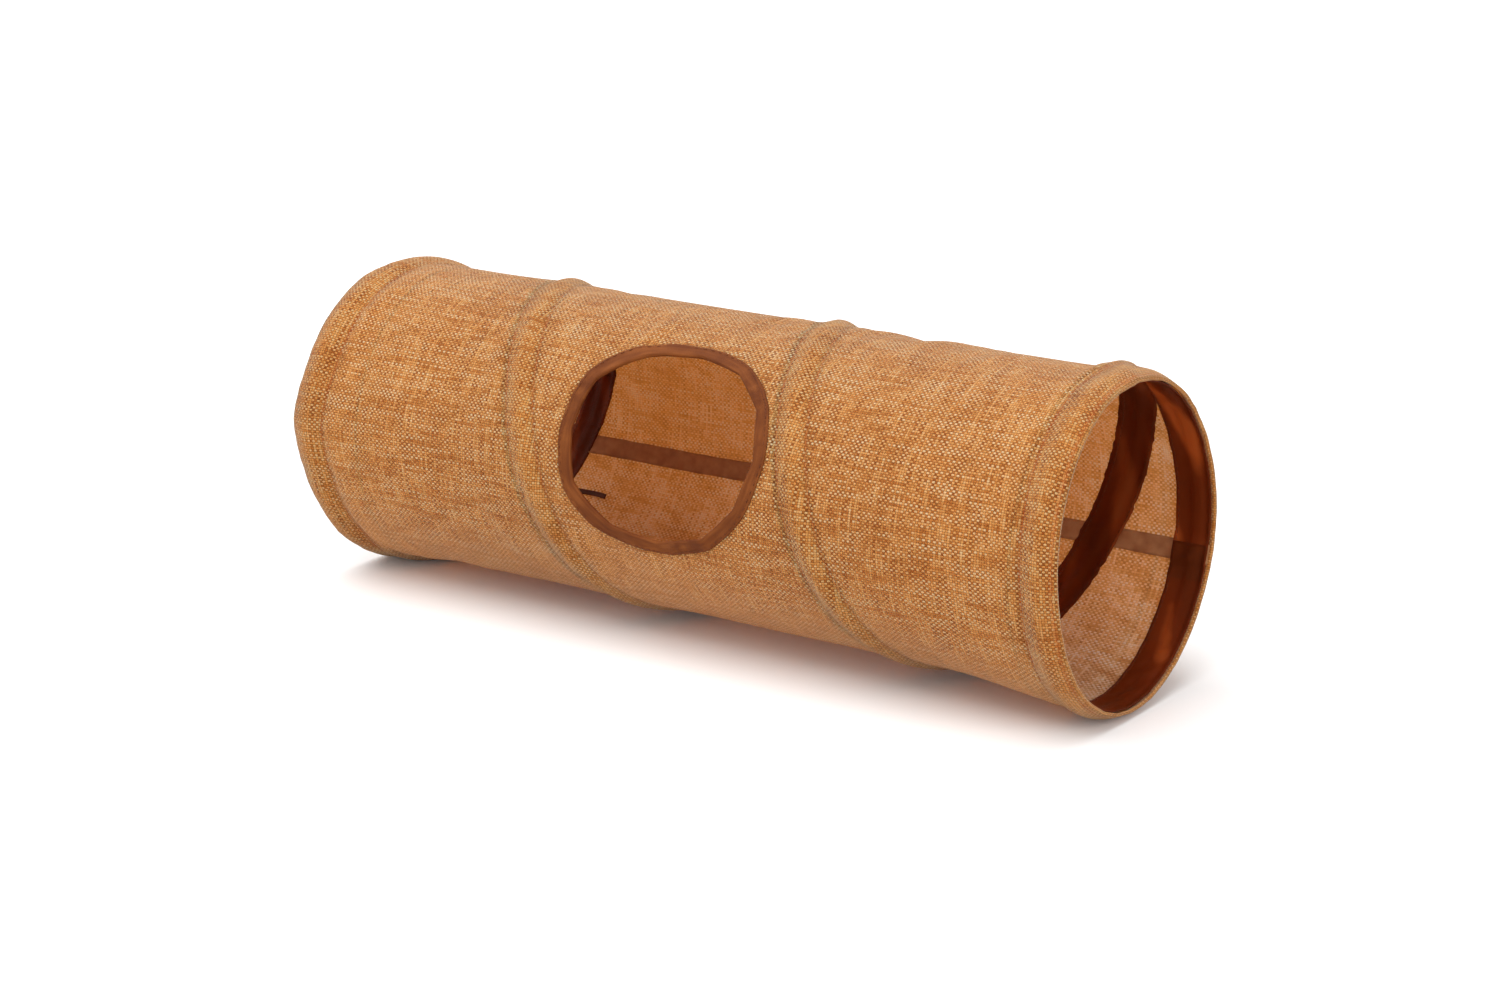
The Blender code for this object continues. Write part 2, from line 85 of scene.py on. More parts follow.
# How the real tunnel stands. Its left ring is turned and bowed, with its near edge kinked outwards.
# Its right ring leans. Both hang lower than a circle, which holds the coil between them off the floor,
# and the coil has swayed towards the left.
LEFT_SHIFTED, LEFT_TURNED, LEFT_LEANS, LEFT_BOWED = 0.0006, 0.0092, 0.0006, 0.0045
LEFT_HANGS = 0.0040
KINK, KINK_TURN, KINK_WIDTH, KINK_POINT = 0.0040, math.radians(265), 0.55, 0.8
RIGHT_TURNED, RIGHT_LEANS = 0.0014, 0.0041
RIGHT_HANGS, RIGHT_HANGS_AT, RIGHT_NARROWS = 0.0070, math.radians(-24), 0.0018
LEFT_HELD, LEFT_REACH, LEFT_HANG_REACH = 0.030, 0.115, 0.090
RIGHT_HELD, RIGHT_REACH, RIGHT_HANG_REACH = 0.020, 0.070, 0.110
RIM_HANGS = 0.005
SWAY, SWAY_TURN, SWAY_SPREAD = 0.0075, math.radians(268), math.radians(75)
TOP_SWAY, TOP_SWAY_SPREAD = 0.0045, math.radians(45)
FAR_SWAY, FAR_SWAY_SPREAD = 0.0016, math.radians(50)
SWAY_STARTS, SWAY_FADES, SWAY_ENDS = 0.090, 0.100, 0.025
FIRST_LOOPS, SECOND_LOOPS = 0.180, 0.300
LEFT_CREASE, LEFT_CREASE_WIDTH = 0.0018, 0.0042
LEFT_CREASE_TURN, LEFT_CREASE_SPREAD = math.radians(306), math.radians(24)

# Where the helix joins the right ring, the doubled wire lifts the cloth into a short proud ridge.
JOIN_PROUD, JOIN_ALONG, JOIN_LENGTH = 0.0034, LENGTH - 0.0260, 0.0050
JOIN_TURN, JOIN_SPREAD = math.radians(163), math.radians(30)
TIP = (RIGHT_HANGS - LEFT_HANGS) / LENGTH


def wire_along(turn):
    """Where the helix is along the tunnel after this much turn, counted through its loops."""
    return RING_INSET + HELIX_RATE * (turn - LEAVES_LEFT_RING)


def wire_offsets(along, turn):
    """The distances along the tunnel to each wire that passes this turn: both rings and the helix."""
    first = math.ceil((LEAVES_LEFT_RING - turn) / math.tau)
    last = math.floor((JOINS_RIGHT_RING - turn) / math.tau)
    passes = [wire_along(turn + math.tau * loop) for loop in range(first, last + 1)]
    return [along - RING_INSET, along - LENGTH + RING_INSET] + [along - place for place in passes]


def smooth(value, low, high):
    """Nought below low, one above high, and an even curve between."""
    share = min(1, max(0, (value - low) / (high - low)))
    return share * share * (3 - 2 * share)


def bell(value, width):
    """One at nought, falling away to either side over about this width."""
    return math.exp(-((value / width) ** 2))


def round_noise(along, turn, along_scale, round_scale, seed):
    """Noise that closes on itself round the tunnel."""
    reach = RADIUS / round_scale
    place = (along / along_scale, reach * math.cos(turn), reach * math.sin(turn) + seed)
    return noise.noise(Vector(place))


def cloth_drop(along, turn):
    """How far the cloth's outer face lies inside the crest of the coil."""
    offsets = [abs(offset) for offset in wire_offsets(along, turn)]
    rises = [
        RIDGE_SHARE * bell(offset, RIDGE_WIDTH) + (1 - RIDGE_SHARE) / (1 + (offset / SLACK_WIDTH) ** 2)
        for offset in offsets
    ]
    rise = min(1, sum(share**4 for share in rises) ** 0.25)
    hem = min(abs(offset - FACING_ROW) for offset in offsets[:2])
    nearest = min([hem] + [abs(offset - STITCH_ROW) for offset in offsets[2:]])
    groove = GROOVE_DEPTH * bell(nearest, GROOVE_WIDTH) + HEM_GROOVE_DEPTH * bell(hem, GROOVE_WIDTH)
    gathers = round_noise(along, turn, PUCKER_ALONG, PUCKER_LENGTH, seed=3)
    pucker = PUCKER_DEPTH * bell(nearest, PUCKER_WIDTH) * gathers
    crease = LEFT_CREASE * bell(offsets[0] - FACING_ROW, LEFT_CREASE_WIDTH)
    groove += crease * bell(turn - LEFT_CREASE_TURN, LEFT_CREASE_SPREAD)
    free = 1 - rise
    wave = WAVE_DEPTH * free * round_noise(along, turn, WAVE_SIZE, WAVE_SIZE, seed=11)
    patch = smooth(round_noise(along, turn, PATCH_SIZE, PATCH_SIZE, seed=23), PATCH_FROM, PATCH_TO)
    slack = FOLD_DEPTH + TOP_FOLD_DEPTH * bell(turn - math.pi, TOP_FOLD_SPREAD)
    slanted = along + FOLD_SLANT * math.sin(2 * turn)
    fold = slack * free * patch * round_noise(slanted, turn, FOLD_ALONG, FOLD_ROUND, seed=31)
    return CLOTH_SAG * free + groove + pucker + wave + fold


def ring_pull(along, turn):
    """How far the mouths' lean and the coil's sway move this place along the tunnel."""
    near, up = -math.sin(turn), -math.cos(turn)
    left = 1 - smooth(along, LEFT_HELD, LEFT_REACH)
    right = smooth(along, LENGTH - RIGHT_REACH, LENGTH - RIGHT_HELD)
    kink = KINK * (1 - smooth(abs(turn - KINK_TURN) ** KINK_POINT, 0, KINK_WIDTH))
    left_pull = -LEFT_TURNED * near + LEFT_LEANS * up - LEFT_BOWED * up**2 - kink - LEFT_SHIFTED
    right_pull = -RIGHT_TURNED * near - RIGHT_LEANS * up
    fades = smooth(along, LENGTH - SWAY_FADES, LENGTH - SWAY_ENDS)
    between = smooth(along, LEFT_HELD, SWAY_STARTS) * (1 - fades)
    first_loops = 1 - smooth(along, FIRST_LOOPS, SECOND_LOOPS)
    sway = SWAY * bell(turn - SWAY_TURN, SWAY_SPREAD)
    sway += TOP_SWAY * bell(turn - math.pi, TOP_SWAY_SPREAD) * first_loops
    sway += FAR_SWAY * bell(turn - math.pi / 2, FAR_SWAY_SPREAD) * first_loops
    return left * left_pull + right * right_pull - between * sway


def crest(along, turn):
    """Radius over the coil: round, egg-shaped at the right mouth, and flat on the floor."""
    down = math.cos(turn)
    proud = JOIN_PROUD * bell(along - JOIN_ALONG, JOIN_LENGTH) * bell(turn - JOIN_TURN, JOIN_SPREAD)
    hanging = smooth(along, LENGTH - RIGHT_HANG_REACH, LENGTH - RIM_HANGS)
    egg = RIGHT_HANGS * max(0, math.cos(turn - RIGHT_HANGS_AT)) ** 3 - RIGHT_NARROWS * math.sin(turn) ** 2
    left_hanging = (1 - smooth(along, RIM_HANGS, LEFT_HANG_REACH)) * LEFT_HANGS * max(0, down) ** 3
    radius = RADIUS + hanging * egg + left_hanging + proud
    floor = AXIS_HEIGHT + LEFT_HANGS + TIP * along
    return min(radius, floor / down) if down > 0 else radius


def on_tunnel(along, round_it, lift, from_crest=False):
    """The point in space of a place that is laid out flat."""
    turn = round_it / RADIUS % math.tau
    held = min(max(along, 0), LENGTH)
    drop = 0 if from_crest else cloth_drop(held, turn)
    radius = crest(held, turn) - drop + lift
    below = radius * math.cos(turn)
    across = radius * math.sin(turn)
    x = along - LENGTH / 2 + ring_pull(held, turn) + TIP * below
    return Vector((x, across, AXIS_HEIGHT + LEFT_HANGS + TIP * along - below))


def roll_up(bm):
    """Rolls a flat pattern up with the cloth."""
    for vert in bm.verts:
        vert.co = on_tunnel(*vert.co)


def pattern(alongs, rounds):
    """A flat piece of cloth, cut to these lines along and round the tunnel, with its own UV map."""
    bm = bmesh.new()
    wide, high = len(alongs) - 1, len(rounds) - 1
    bmesh.ops.create_grid(bm, x_segments=wide, y_segments=high, size=0.5)
    for vert in bm.verts:
        across, up = round((vert.co.x + 0.5) * wide), round((vert.co.y + 0.5) * high)
        vert.co = Vector((alongs[across], rounds[up], 0))
    chart(bm)
    return bm


def chart(bm):
    """Keeps each corner's flat place, in metres, as the UV map that the weaves follow."""
    layer = bm.loops.layers.uv.verify()
    for face in bm.faces:
        for loop in face.loops:
            loop[layer].uv = loop.vert.co.xy


def steps(low, high, size):
    """Even steps of at most this size, with both ends."""
    count = max(1, math.ceil((high - low) / size))
    return [low + (high - low) * step / count for step in range(count + 1)]


def in_scene(name, data):
    """An object of this mesh, curve, lamp or camera, in the scene."""
    made = bpy.data.objects.new(name, data)
    bpy.context.scene.collection.objects.link(made)
    return made


def as_object(name, bm, *finishes):
    """Makes a mesh object of a finished bmesh, which is then freed."""
    mesh = bpy.data.meshes.new(name)
    for face in bm.faces:
        face.smooth = True
    bm.to_mesh(mesh)
    bm.free()
    for finish in finishes:
        mesh.materials.append(finish)
    if mesh.uv_layers:
        mesh.uv_layers[0].name = "cloth"
    return in_scene(name, mesh)


def thicken(piece, thickness, inner_finish=0):
    """Gives a rolled sheet its thickness, towards the axis."""
    solid = piece.modifiers.new("thickness", "SOLIDIFY")
    solid.thickness = thickness
    solid.offset = -1
    solid.material_offset = inner_finish
    bake(piece)


def bake(piece):
    """Applies a piece's modifiers."""
    graph = bpy.context.evaluated_depsgraph_get()
    mesh = bpy.data.meshes.new_from_object(piece.evaluated_get(graph))
    piece.modifiers.clear()
    piece.data = mesh
    mesh.shade_smooth()


# The collapse. Each mouth's hem stays whole and moves with its ring. The cloth, tape and wire between
# the two hems fold up like a bellows, so every long piece is parted along two flat planes.
LEFT_HEM_END, RIGHT_HEM_START = -0.2150, 0.2202
CUT_TOLERANCE = 1e-7
collapse = next(joint for joint in frame["joints"] if joint["name"] == "collapse")
FOLDED = 1 - abs(min(collapse["range_m"])) / (RIGHT_HEM_START - LEFT_HEM_END)


def cut_off(piece, name, low, high, tube):
    """A copy of what lies between two planes across the tunnel, with its cut ends closed, or None."""
    bm = bmesh.new()
    bm.from_mesh(piece.data)
    for place, side in ((low, -1), (high, 1)):
        if place is None:
            continue
        cut = bmesh.ops.bisect_plane(
            bm, geom=bm.verts[:] + bm.edges[:] + bm.faces[:], dist=CUT_TOLERANCE,
            plane_co=(place, 0, 0), plane_no=(side, 0, 0), clear_outer=True,
        )
        ends = [edge for edge in cut["geom_cut"] if isinstance(edge, bmesh.types.BMEdge)]
        for edge in ends:
            edge.smooth = False
        if ends and tube:
            bmesh.ops.bridge_loops(bm, edges=ends)
        elif ends:
            bmesh.ops.holes_fill(bm, edges=ends)
    if not bm.faces:
        bm.free()
        return None
    bmesh.ops.recalc_face_normals(bm, faces=bm.faces)
    return as_object(name, bm, *piece.data.materials)


def hang(piece, slot, *nodes, tube=False):
    """Parts a long solid piece at the hems: its ends ride on the mouths, and its middle rides on the left
    mouth.
    """
    name, parts = piece.name, []
    piece.name = name + "_whole"
    zones = (
        (name + "_at_left_mouth", None, LEFT_HEM_END, "left_mouth"),
        (name, LEFT_HEM_END, RIGHT_HEM_START, "left_mouth"),
        (name + "_at_right_mouth", RIGHT_HEM_START, None, "right_mouth"),
    )
    for part_name, low, high, body in zones:
        part = cut_off(piece, part_name, low, high, tube)
        if part is None:
            continue
        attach(part, body)
        if low is not None and high is not None:
            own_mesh(part)
        parts.append(part)
    bpy.data.objects.remove(piece, do_unlink=True)
    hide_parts(*nodes)
    return parts


# The finishes. Each cloth, tape, thread and metal gets a material made of shader nodes, whose
# sockets can be added and multiplied like numbers.
class Socket:
    """One output of a shader node. Arithmetic on it adds Math nodes."""

    def __init__(self, nodes, link):
        self.nodes, self.link = nodes, link

    def out(self, output):
        """Another output of the same node."""
        return Socket(self.nodes, self.link.node.outputs[output])

    def __add__(self, other):
        return self.nodes.maths("ADD", self, other)

    def __sub__(self, other):
        return self.nodes.maths("SUBTRACT", self, other)

    def __rsub__(self, other):
        return self.nodes.maths("SUBTRACT", other, self)

    def __mul__(self, other):
        return self.nodes.maths("MULTIPLY", self, other)

    def __truediv__(self, other):
        return self.nodes.maths("DIVIDE", self, other)

    def __pow__(self, other):
        return self.nodes.maths("POWER", self, other)

    __radd__, __rmul__ = __add__, __mul__


class Nodes:
    """A tree of shader nodes."""

    def __init__(self, tree):
        self.tree = tree

    def node(self, kind, settings, sockets, output=0):
        """Adds a node: its settings first, then the values or links of its sockets."""
        made = self.tree.nodes.new("ShaderNode" + kind)
        stops = settings.get("stops", ())
        for key, value in settings.items():
            if key != "stops":
                setattr(made, key, value)
        for index, (place, colour) in enumerate(stops):
            ramp = made.color_ramp.elements
            stop = ramp[index] if index < 2 else ramp.new(place)
            stop.position, stop.color = place, (*colour, 1)
        for key, value in sockets.items():
            if isinstance(value, Socket):
                self.tree.links.new(value.link, made.inputs[key])
            else:
                made.inputs[key].default_value = value
        return Socket(self, made.outputs[output])

    def maths(self, operation, first, second=0.0):
        return self.node("Math", {"operation": operation}, {0: first, 1: second})

    def mix(self, factor, first, second, kind="MIX"):
        settings = {"data_type": "RGBA", "blend_type": kind}
        return self.node("Mix", settings, {0: factor, 6: first, 7: second}, output=2)

    def ramp(self, place, stops):
        return self.node("ValToRGB", {"stops": stops}, {0: place})

    def flat_place(self):
        """Where a point is on the flat piece, in metres along and round the tunnel."""
        place = self.node("UVMap", {"uv_map": "cloth"}, {})
        split = self.node("SeparateXYZ", {}, {0: place})
        return split, split.out(1)

    def cloud(self, u, v, size, detail=2.0):
        """Noise on two numbers, of about this size in metres."""
        place = self.node("CombineXYZ", {}, {0: u / size, 1: v / size, 2: 0.0})
        settings = {"noise_dimensions": "2D"}
        return self.node("TexNoise", settings, {"Vector": place, "Scale": 1.0, "Detail": detail})

    def looked_at(self):
        """One for rays from the camera, and for those that metal and glass show."""
        camera = self.node("LightPath", {}, {})
        shown = self.maths("MAXIMUM", camera.out("Is Glossy Ray"), camera.out("Is Transmission Ray"))
        return self.maths("MAXIMUM", camera, shown)


class Finish(Nodes):
    """The nodes of one new material."""

    def __init__(self, name, roughness, **constants):
        self.material = bpy.data.materials.new(name)
        self.material.use_nodes = True
        super().__init__(self.material.node_tree)
        self.shader = self.tree.nodes["Principled BSDF"]
        self.shader.inputs["Roughness"].default_value = roughness
        for socket, value in constants.items():
            self.shader.inputs[socket.replace("_", " ")].default_value = value

    def feed(self, name, socket):
        self.tree.links.new(socket.link, self.shader.inputs[name])

    def bump(self, height, distance):
        self.feed("Normal", self.node("Bump", {}, {"Height": height, "Distance": distance}))

    def see_through(self, colour, share):
        """Lets a share of the light through, tinted, as thin cloth does."""
        film = self.node("BsdfTranslucent", {}, {"Color": (*colour, 1)})
        mixed = self.node("MixShader", {}, {0: share, 1: Socket(self, self.shader.outputs[0]), 2: film})
        self.tree.links.new(mixed.link, self.tree.nodes["Material Output"].inputs["Surface"])


# The sleeve's cloth. A coarse plain weave of slubby tan polyester yarns, about seven to the
# centimetre each way, dyed unevenly and thin enough for light to show through. Its wrong side is
# paler. Each row of stitches draws it into a narrow furrow. Painted shade darkens the furrows and the
# gaps between yarns, painted light and shade mark its creases, and painted light makes the taped
# bands paler.
YARN_PITCH, YARN_STREAK, YARN_SKIP, YARN_DIP = 0.00145, 0.026, 2.37, 0.25
YARN_SHADE, LONG_YARN_PALE, ROUND_YARN_PALE, SLUB = 0.46, 0.330, 0.200, 0.09
GAP_SPAN, CLOTH_RELIEF, SHADE_RELIEF = 1.25, 0.00035, 0.5
BLOTCH_SIZE, BLOTCH_DETAIL = 0.030, 4.0
CREASE_SIZE, CREASE_DETAIL, CREASE_LEAN, CREASE_STRETCH, CREASE_PAINTED_SHADE = 0.012, 3.0, 0.6, 0.25, 0.026
EDGE_STITCH, FACING_STITCH = 0.0029, 0.0219
FURROW_WIDTH, FURROW_PAINTED_SHADE, FURROW_SHADE_COLOUR = 0.0022, 0.66, (0.33, 0.045, 0.000)
FURROW_LEAST, FURROW_VARIES, FURROW_PATCH, FURROW_RELIEF = 0.3, 1.2, 0.008, 0.6
TAPED_PAINTED_LIGHT, TAPED_PAINTED_TINT = 0.030, (1.0, 0.86, 0.70)
SEE_THROUGH, DARK_HOLDS_BACK = 0.50, 0.6


def weave(finish, u, v):
    """Plain weave of slubby yarns: its height, and the shade of whichever yarn is on top."""
    s, t = u / YARN_PITCH, v / YARN_PITCH
    column, row = finish.maths("FLOOR", s), finish.maths("FLOOR", t)
    over = finish.node("Math", {"operation": "FLOORED_MODULO"}, {0: column + row, 1: 2.0})
    across_round_yarn = 1 - (2 * (s - column) - 1) ** 2
    across_long_yarn = 1 - (2 * (t - row) - 1) ** 2
    long_yarn = across_long_yarn * (YARN_DIP + (1 - YARN_DIP) * over * across_round_yarn ** 0.5)
    round_yarn = across_round_yarn * (YARN_DIP + (1 - YARN_DIP) * (1 - over) * across_long_yarn ** 0.5)
    height = finish.maths("MAXIMUM", long_yarn, round_yarn)
    long_on_top = finish.maths("GREATER_THAN", long_yarn, round_yarn)
    skip = YARN_SKIP * YARN_STREAK
    # Painted light: long yarns are made paler than round ones, for the floats along the tunnel catching
    # more light.
    long_shade = YARN_SHADE * finish.cloud(u, row * skip, YARN_STREAK) + LONG_YARN_PALE
    round_shade = YARN_SHADE * finish.cloud(column * skip, v, YARN_STREAK) + ROUND_YARN_PALE
    crossing = finish.node("CombineXYZ", {}, {0: column, 1: row, 2: 0.0})
    slub = finish.node("TexWhiteNoise", {"noise_dimensions": "2D"}, {"Vector": crossing})
    return height, round_shade + (long_shade - round_shade) * long_on_top + SLUB * (slub - 0.5)


def from_stitches(finish, u, v):
    """How far a place on the flat cloth is from the nearest row of stitches, and whether it is taped."""
    loop = HELIX_RATE * math.tau
    first_wire = RING_INSET - HELIX_RATE * LEAVES_LEFT_RING
    ahead = u - v * (HELIX_RATE / RADIUS) - first_wire
    wire = finish.node("Math", {"operation": "WRAP"}, {0: ahead, 1: loop / 2, 2: -loop / 2})
    from_wire = finish.maths("ABSOLUTE", wire)
    rim = LENGTH / 2 - finish.maths("ABSOLUTE", u - LENGTH / 2)
    at_mouth = finish.maths("LESS_THAN", rim, FACING_STITCH)
    taped = finish.maths("MAXIMUM", finish.maths("LESS_THAN", from_wire, STITCH_ROW), at_mouth)
    casing = finish.maths("ABSOLUTE", from_wire - STITCH_ROW) + at_mouth
    hem = finish.maths("ABSOLUTE", rim - FACING_STITCH)
    edge = finish.maths("ABSOLUTE", rim - EDGE_STITCH)
    return finish.maths("MINIMUM", casing, finish.maths("MINIMUM", hem, edge)), taped


def woven_tan(name, stops, gap_shade_colour, glow, blotchy, creased, gap_shading):
    finish = Finish(
        name, 0.85, Specular_IOR_Level=0.2,
        Sheen_Weight=0.8, Sheen_Roughness=0.3, Sheen_Tint=(1.0, 0.91, 0.70, 1),
    )
    u, v = finish.flat_place()
    height, shade = weave(finish, u, v)
    blotch = finish.cloud(u, v, BLOTCH_SIZE, BLOTCH_DETAIL)
    stitches, taped = from_stitches(finish, u, v)
    crease = finish.cloud(CREASE_LEAN * u + v, CREASE_STRETCH * (v - u), CREASE_SIZE, CREASE_DETAIL)
    # Painted light and shade: the creases lighten and darken the tone.
    crease_shading = CREASE_PAINTED_SHADE * creased * (crease - 0.5)
    tone = (1 - blotchy) * shade + blotchy * blotch + TAPED_PAINTED_LIGHT * taped + crease_shading
    # Painted light: over the taped bands the tone is paler and tinted, making up for the light from inside
    # that the tape holds back.
    yarn = finish.mix(taped, finish.ramp(tone, stops), (*TAPED_PAINTED_TINT, 1), "MULTIPLY")
    # Painted shade: the gaps between yarns are mixed towards a dark colour given with each cloth.
    gap = (1 - finish.maths("MINIMUM", height * GAP_SPAN, 1.0)) * gap_shading
    # Painted shade: along each row of stitches the colour is darkened, unevenly, as the furrow's shade.
    uneven = FURROW_LEAST + FURROW_VARIES * finish.cloud(u, v, FURROW_PATCH)
    furrow = finish.maths("MAXIMUM", 1 - stitches / FURROW_WIDTH, 0.0) ** 2 * uneven
    gap_shaded_yarn = finish.mix(gap, yarn, (*gap_shade_colour, 1))
    finish.feed("Base Color", finish.mix(furrow * FURROW_PAINTED_SHADE, gap_shaded_yarn, (*FURROW_SHADE_COLOUR, 1)))
    relief = height + SHADE_RELIEF * shade + creased * crease - FURROW_RELIEF * furrow
    finish.bump(relief, CLOTH_RELIEF)
    dark = finish.maths("MAXIMUM", gap, furrow * FURROW_PAINTED_SHADE)
    finish.see_through(glow, SEE_THROUGH * (1 - DARK_HOLDS_BACK * dark))
    return finish.material


def tan_cloth():
    stops = [
        (0.36, (0.266, 0.086, 0.0143)), (0.46, (0.55, 0.243, 0.058)),
        (0.54, (0.84, 0.482, 0.165)), (0.64, (0.94, 0.75, 0.42)),
    ]
    return woven_tan(
        "tan_cloth", stops, gap_shade_colour=(0.13, 0.031, 0.0045), glow=(0.875, 0.51, 0.18),
        blotchy=0.05, creased=2.0, gap_shading=1.0,
    )


def tan_cloth_back():
    stops = [
        (0.34, (0.34, 0.128, 0.038)), (0.45, (0.68, 0.372, 0.150)),
        (0.53, (0.97, 0.71, 0.42)), (0.62, (1.0, 0.95, 0.77)),
    ]
    return woven_tan(
        "tan_cloth_back", stops, gap_shade_colour=(0.28, 0.09, 0.024), glow=(0.96, 0.54, 0.20),
        blotchy=0.18, creased=9.0, gap_shading=0.5,
    )


HOLE_ALONG, HOLE_TURN = 0.2565, math.radians(248.6)
HOLE_LENGTH, HOLE_HEIGHT = 0.1208, 0.1152
HOLE_LEFT_POWER, HOLE_RIGHT_POWER = 2.5, 1.95
HOLE_WOBBLE, WOBBLE_WAVES, HOLE_RUNS, HOLE_UNEVEN = 0.0012, 2.1, 12, 0.028
INNER_STRAIGHT, OUTER_STRAIGHT, OUTER_MARGIN = 0.75, 0.15, 0.0075
CUT_MARGIN = 0.0036
SEAM_ROUND = math.radians(70) * RADIUS
TURN_IN_RADIUS, TURN_IN_LENGTH = 0.0010, 0.004
RIM_STEP, ALONG_STEP, ROUND_STEP = 0.0009, 0.0026, 0.0024
WELD = 0.00002


def round_peephole(share, margin):
    """The same as peephole_edge, before the tape pulls it straight between its runs."""
    angle = math.tau * share
    side, rise = math.cos(angle), math.sin(angle)
    power = HOLE_RIGHT_POWER if side > 0 else HOLE_LEFT_POWER
    reach = (abs(side) ** power + abs(rise) ** power) ** (-1 / power)
    wobble = HOLE_WOBBLE * noise.noise(Vector((WOBBLE_WAVES * side, WOBBLE_WAVES * rise, 5)))
    ahead = (HOLE_LENGTH / 2 + margin + wobble) * reach * side
    up = (HOLE_HEIGHT / 2 + margin + wobble) * reach * rise
    return Vector((HOLE_ALONG + ahead, HOLE_TURN * RADIUS - up))


def peephole_edge(share, margin):
    """A flat place this far outside the clear opening, this share of the way round it. The tape was
    pulled round in uneven straight runs, so its fold has soft corners."""
    walked = share + HOLE_UNEVEN * math.sin(3 * math.tau * share + 1)
    run = math.floor(walked * HOLE_RUNS)
    along_run = walked * HOLE_RUNS - run
    start, end = (round_peephole(corner / HOLE_RUNS, margin) for corner in (run, run + 1))
    straight = start + (end - start) * along_run
    outer = min(1, max(0, margin / OUTER_MARGIN))
    stiff = INNER_STRAIGHT + (OUTER_STRAIGHT - INNER_STRAIGHT) * outer
    return straight * stiff + round_peephole(walked, margin) * (1 - stiff)


def inside_peephole(along, round_it, margin):
    """Whether a flat place lies inside the clear opening grown by this margin."""
    ahead, up = along - HOLE_ALONG, HOLE_TURN * RADIUS - round_it
    share = math.atan2(up / HOLE_HEIGHT, ahead / HOLE_LENGTH) / math.tau
    edge_along, edge_round = peephole_edge(share % 1, margin)
    edge = math.hypot(edge_along - HOLE_ALONG, HOLE_TURN * RADIUS - edge_round)
    return math.hypot(ahead, up) < edge


def make_sleeve():
    """The cloth as one sheet, with its hole cut out and its rims turned in, rolled up and seamed."""
    turn_in = math.pi * TURN_IN_RADIUS + TURN_IN_LENGTH
    left_rim = steps(-turn_in, 0, RIM_STEP)
    middle = steps(0, LENGTH, ALONG_STEP)
    rim_rows = left_rim[:-1] + middle + [LENGTH - place for place in reversed(left_rim[:-1])]
    bm = pattern(rim_rows, steps(SEAM_ROUND, SEAM_ROUND + CIRCUMFERENCE, ROUND_STEP))
    cut = [
        face for face in bm.faces
        if inside_peephole(*face.calc_center_median().xy, margin=CUT_MARGIN)
    ]
    bmesh.ops.delete(bm, geom=cut, context="FACES")
    for vert in bm.verts:
        turned = max(-vert.co.x, vert.co.x - LENGTH)
        if turned > 0:
            bend = min(math.pi, turned / TURN_IN_RADIUS)
            inwards = max(0, turned - math.pi * TURN_IN_RADIUS)
            place = TURN_IN_RADIUS * (1 - math.sin(bend)) + inwards
            vert.co.x = place if vert.co.x < 0 else LENGTH - place
            vert.co.z = -TURN_IN_RADIUS * (1 - math.cos(bend))
    roll_up(bm)
    bmesh.ops.remove_doubles(bm, verts=bm.verts, dist=WELD)
    bmesh.ops.recalc_face_normals(bm, faces=bm.faces)
    return as_object("sleeve_cloth", bm, tan_cloth(), tan_cloth_back())


sleeve = make_sleeve()
thicken(sleeve, CLOTH, inner_finish=1)
sleeve_parts = hang(sleeve, "woven_cloth", "sleeve", tube=True)

# The tapes' satin. A dark reddish brown polyester satin, fine and springy, with a faint rib across its
# width. Its shine is painted into its colour as long soft highlights, and its creases are a bump.
SATIN_RIB, SATIN_CLOUD, SATIN_CREASE, SATIN_PAINTED_GLEAM = 0.00045, 0.020, 0.014, 0.017
SATIN_RELIEF = 0.0006
SATIN_GLOW, SATIN_SEE_THROUGH = (0.55, 0.145, 0.030), 0.22
DOUBLED_PAINTED_SHADE = 0.8


def brown_satin(name, colour, painted_shine, doubled_beyond=None):
    """Satin of this colour, with painted highlights. Beyond doubled_beyond, round the tunnel, it lies
    double and is painted darker there, as shade.
    """
    finish = Finish(name, 0.4, Anisotropic=0.5, Specular_IOR_Level=0.22, Specular_Tint=(1.0, 0.45, 0.20, 1))
    u, v = finish.flat_place()
    rib = finish.maths("SINE", (u + v) * (math.tau / SATIN_RIB))
    cloudy = finish.cloud(u, v, SATIN_CLOUD)
    crease = finish.cloud(u * 0.5 + v, v * 0.3 - u, SATIN_CREASE, 1.0)
    # Painted highlights: long soft streaks take the colour from a darkened copy to a lighter one and on to
    # a shine colour.
    painted_gleam = finish.cloud(u + v * 0.10, v * 0.22, SATIN_PAINTED_GLEAM, 0.0)
    light = tuple(1.02 * part for part in colour)
    dark = tuple(0.78 * part for part in colour)
    painted_highlight = (painted_shine * colour[0], 1.5 * painted_shine * colour[1], 2 * painted_shine * colour[2])
    stops = [(0.30, dark), (0.54, light), (0.70, painted_highlight)]
    shade = finish.ramp(0.12 * cloudy + 0.88 * painted_gleam, stops)
    # Painted shade: where the tape lies double it is darker.
    if doubled_beyond:
        doubled = finish.maths("GREATER_THAN", v, doubled_beyond)
        doubled_shade_colour = (0.6 * colour[0], 0.7 * colour[1], 0.9 * colour[2], 1)
        shade = finish.mix(doubled * DOUBLED_PAINTED_SHADE, shade, doubled_shade_colour)
    finish.feed("Base Color", shade)
    finish.feed("Roughness", 0.30 + 0.14 * cloudy)
    finish.bump(0.06 * rib + 1.0 * crease, SATIN_RELIEF)
    finish.see_through(SATIN_GLOW, SATIN_SEE_THROUGH)
    return finish.material


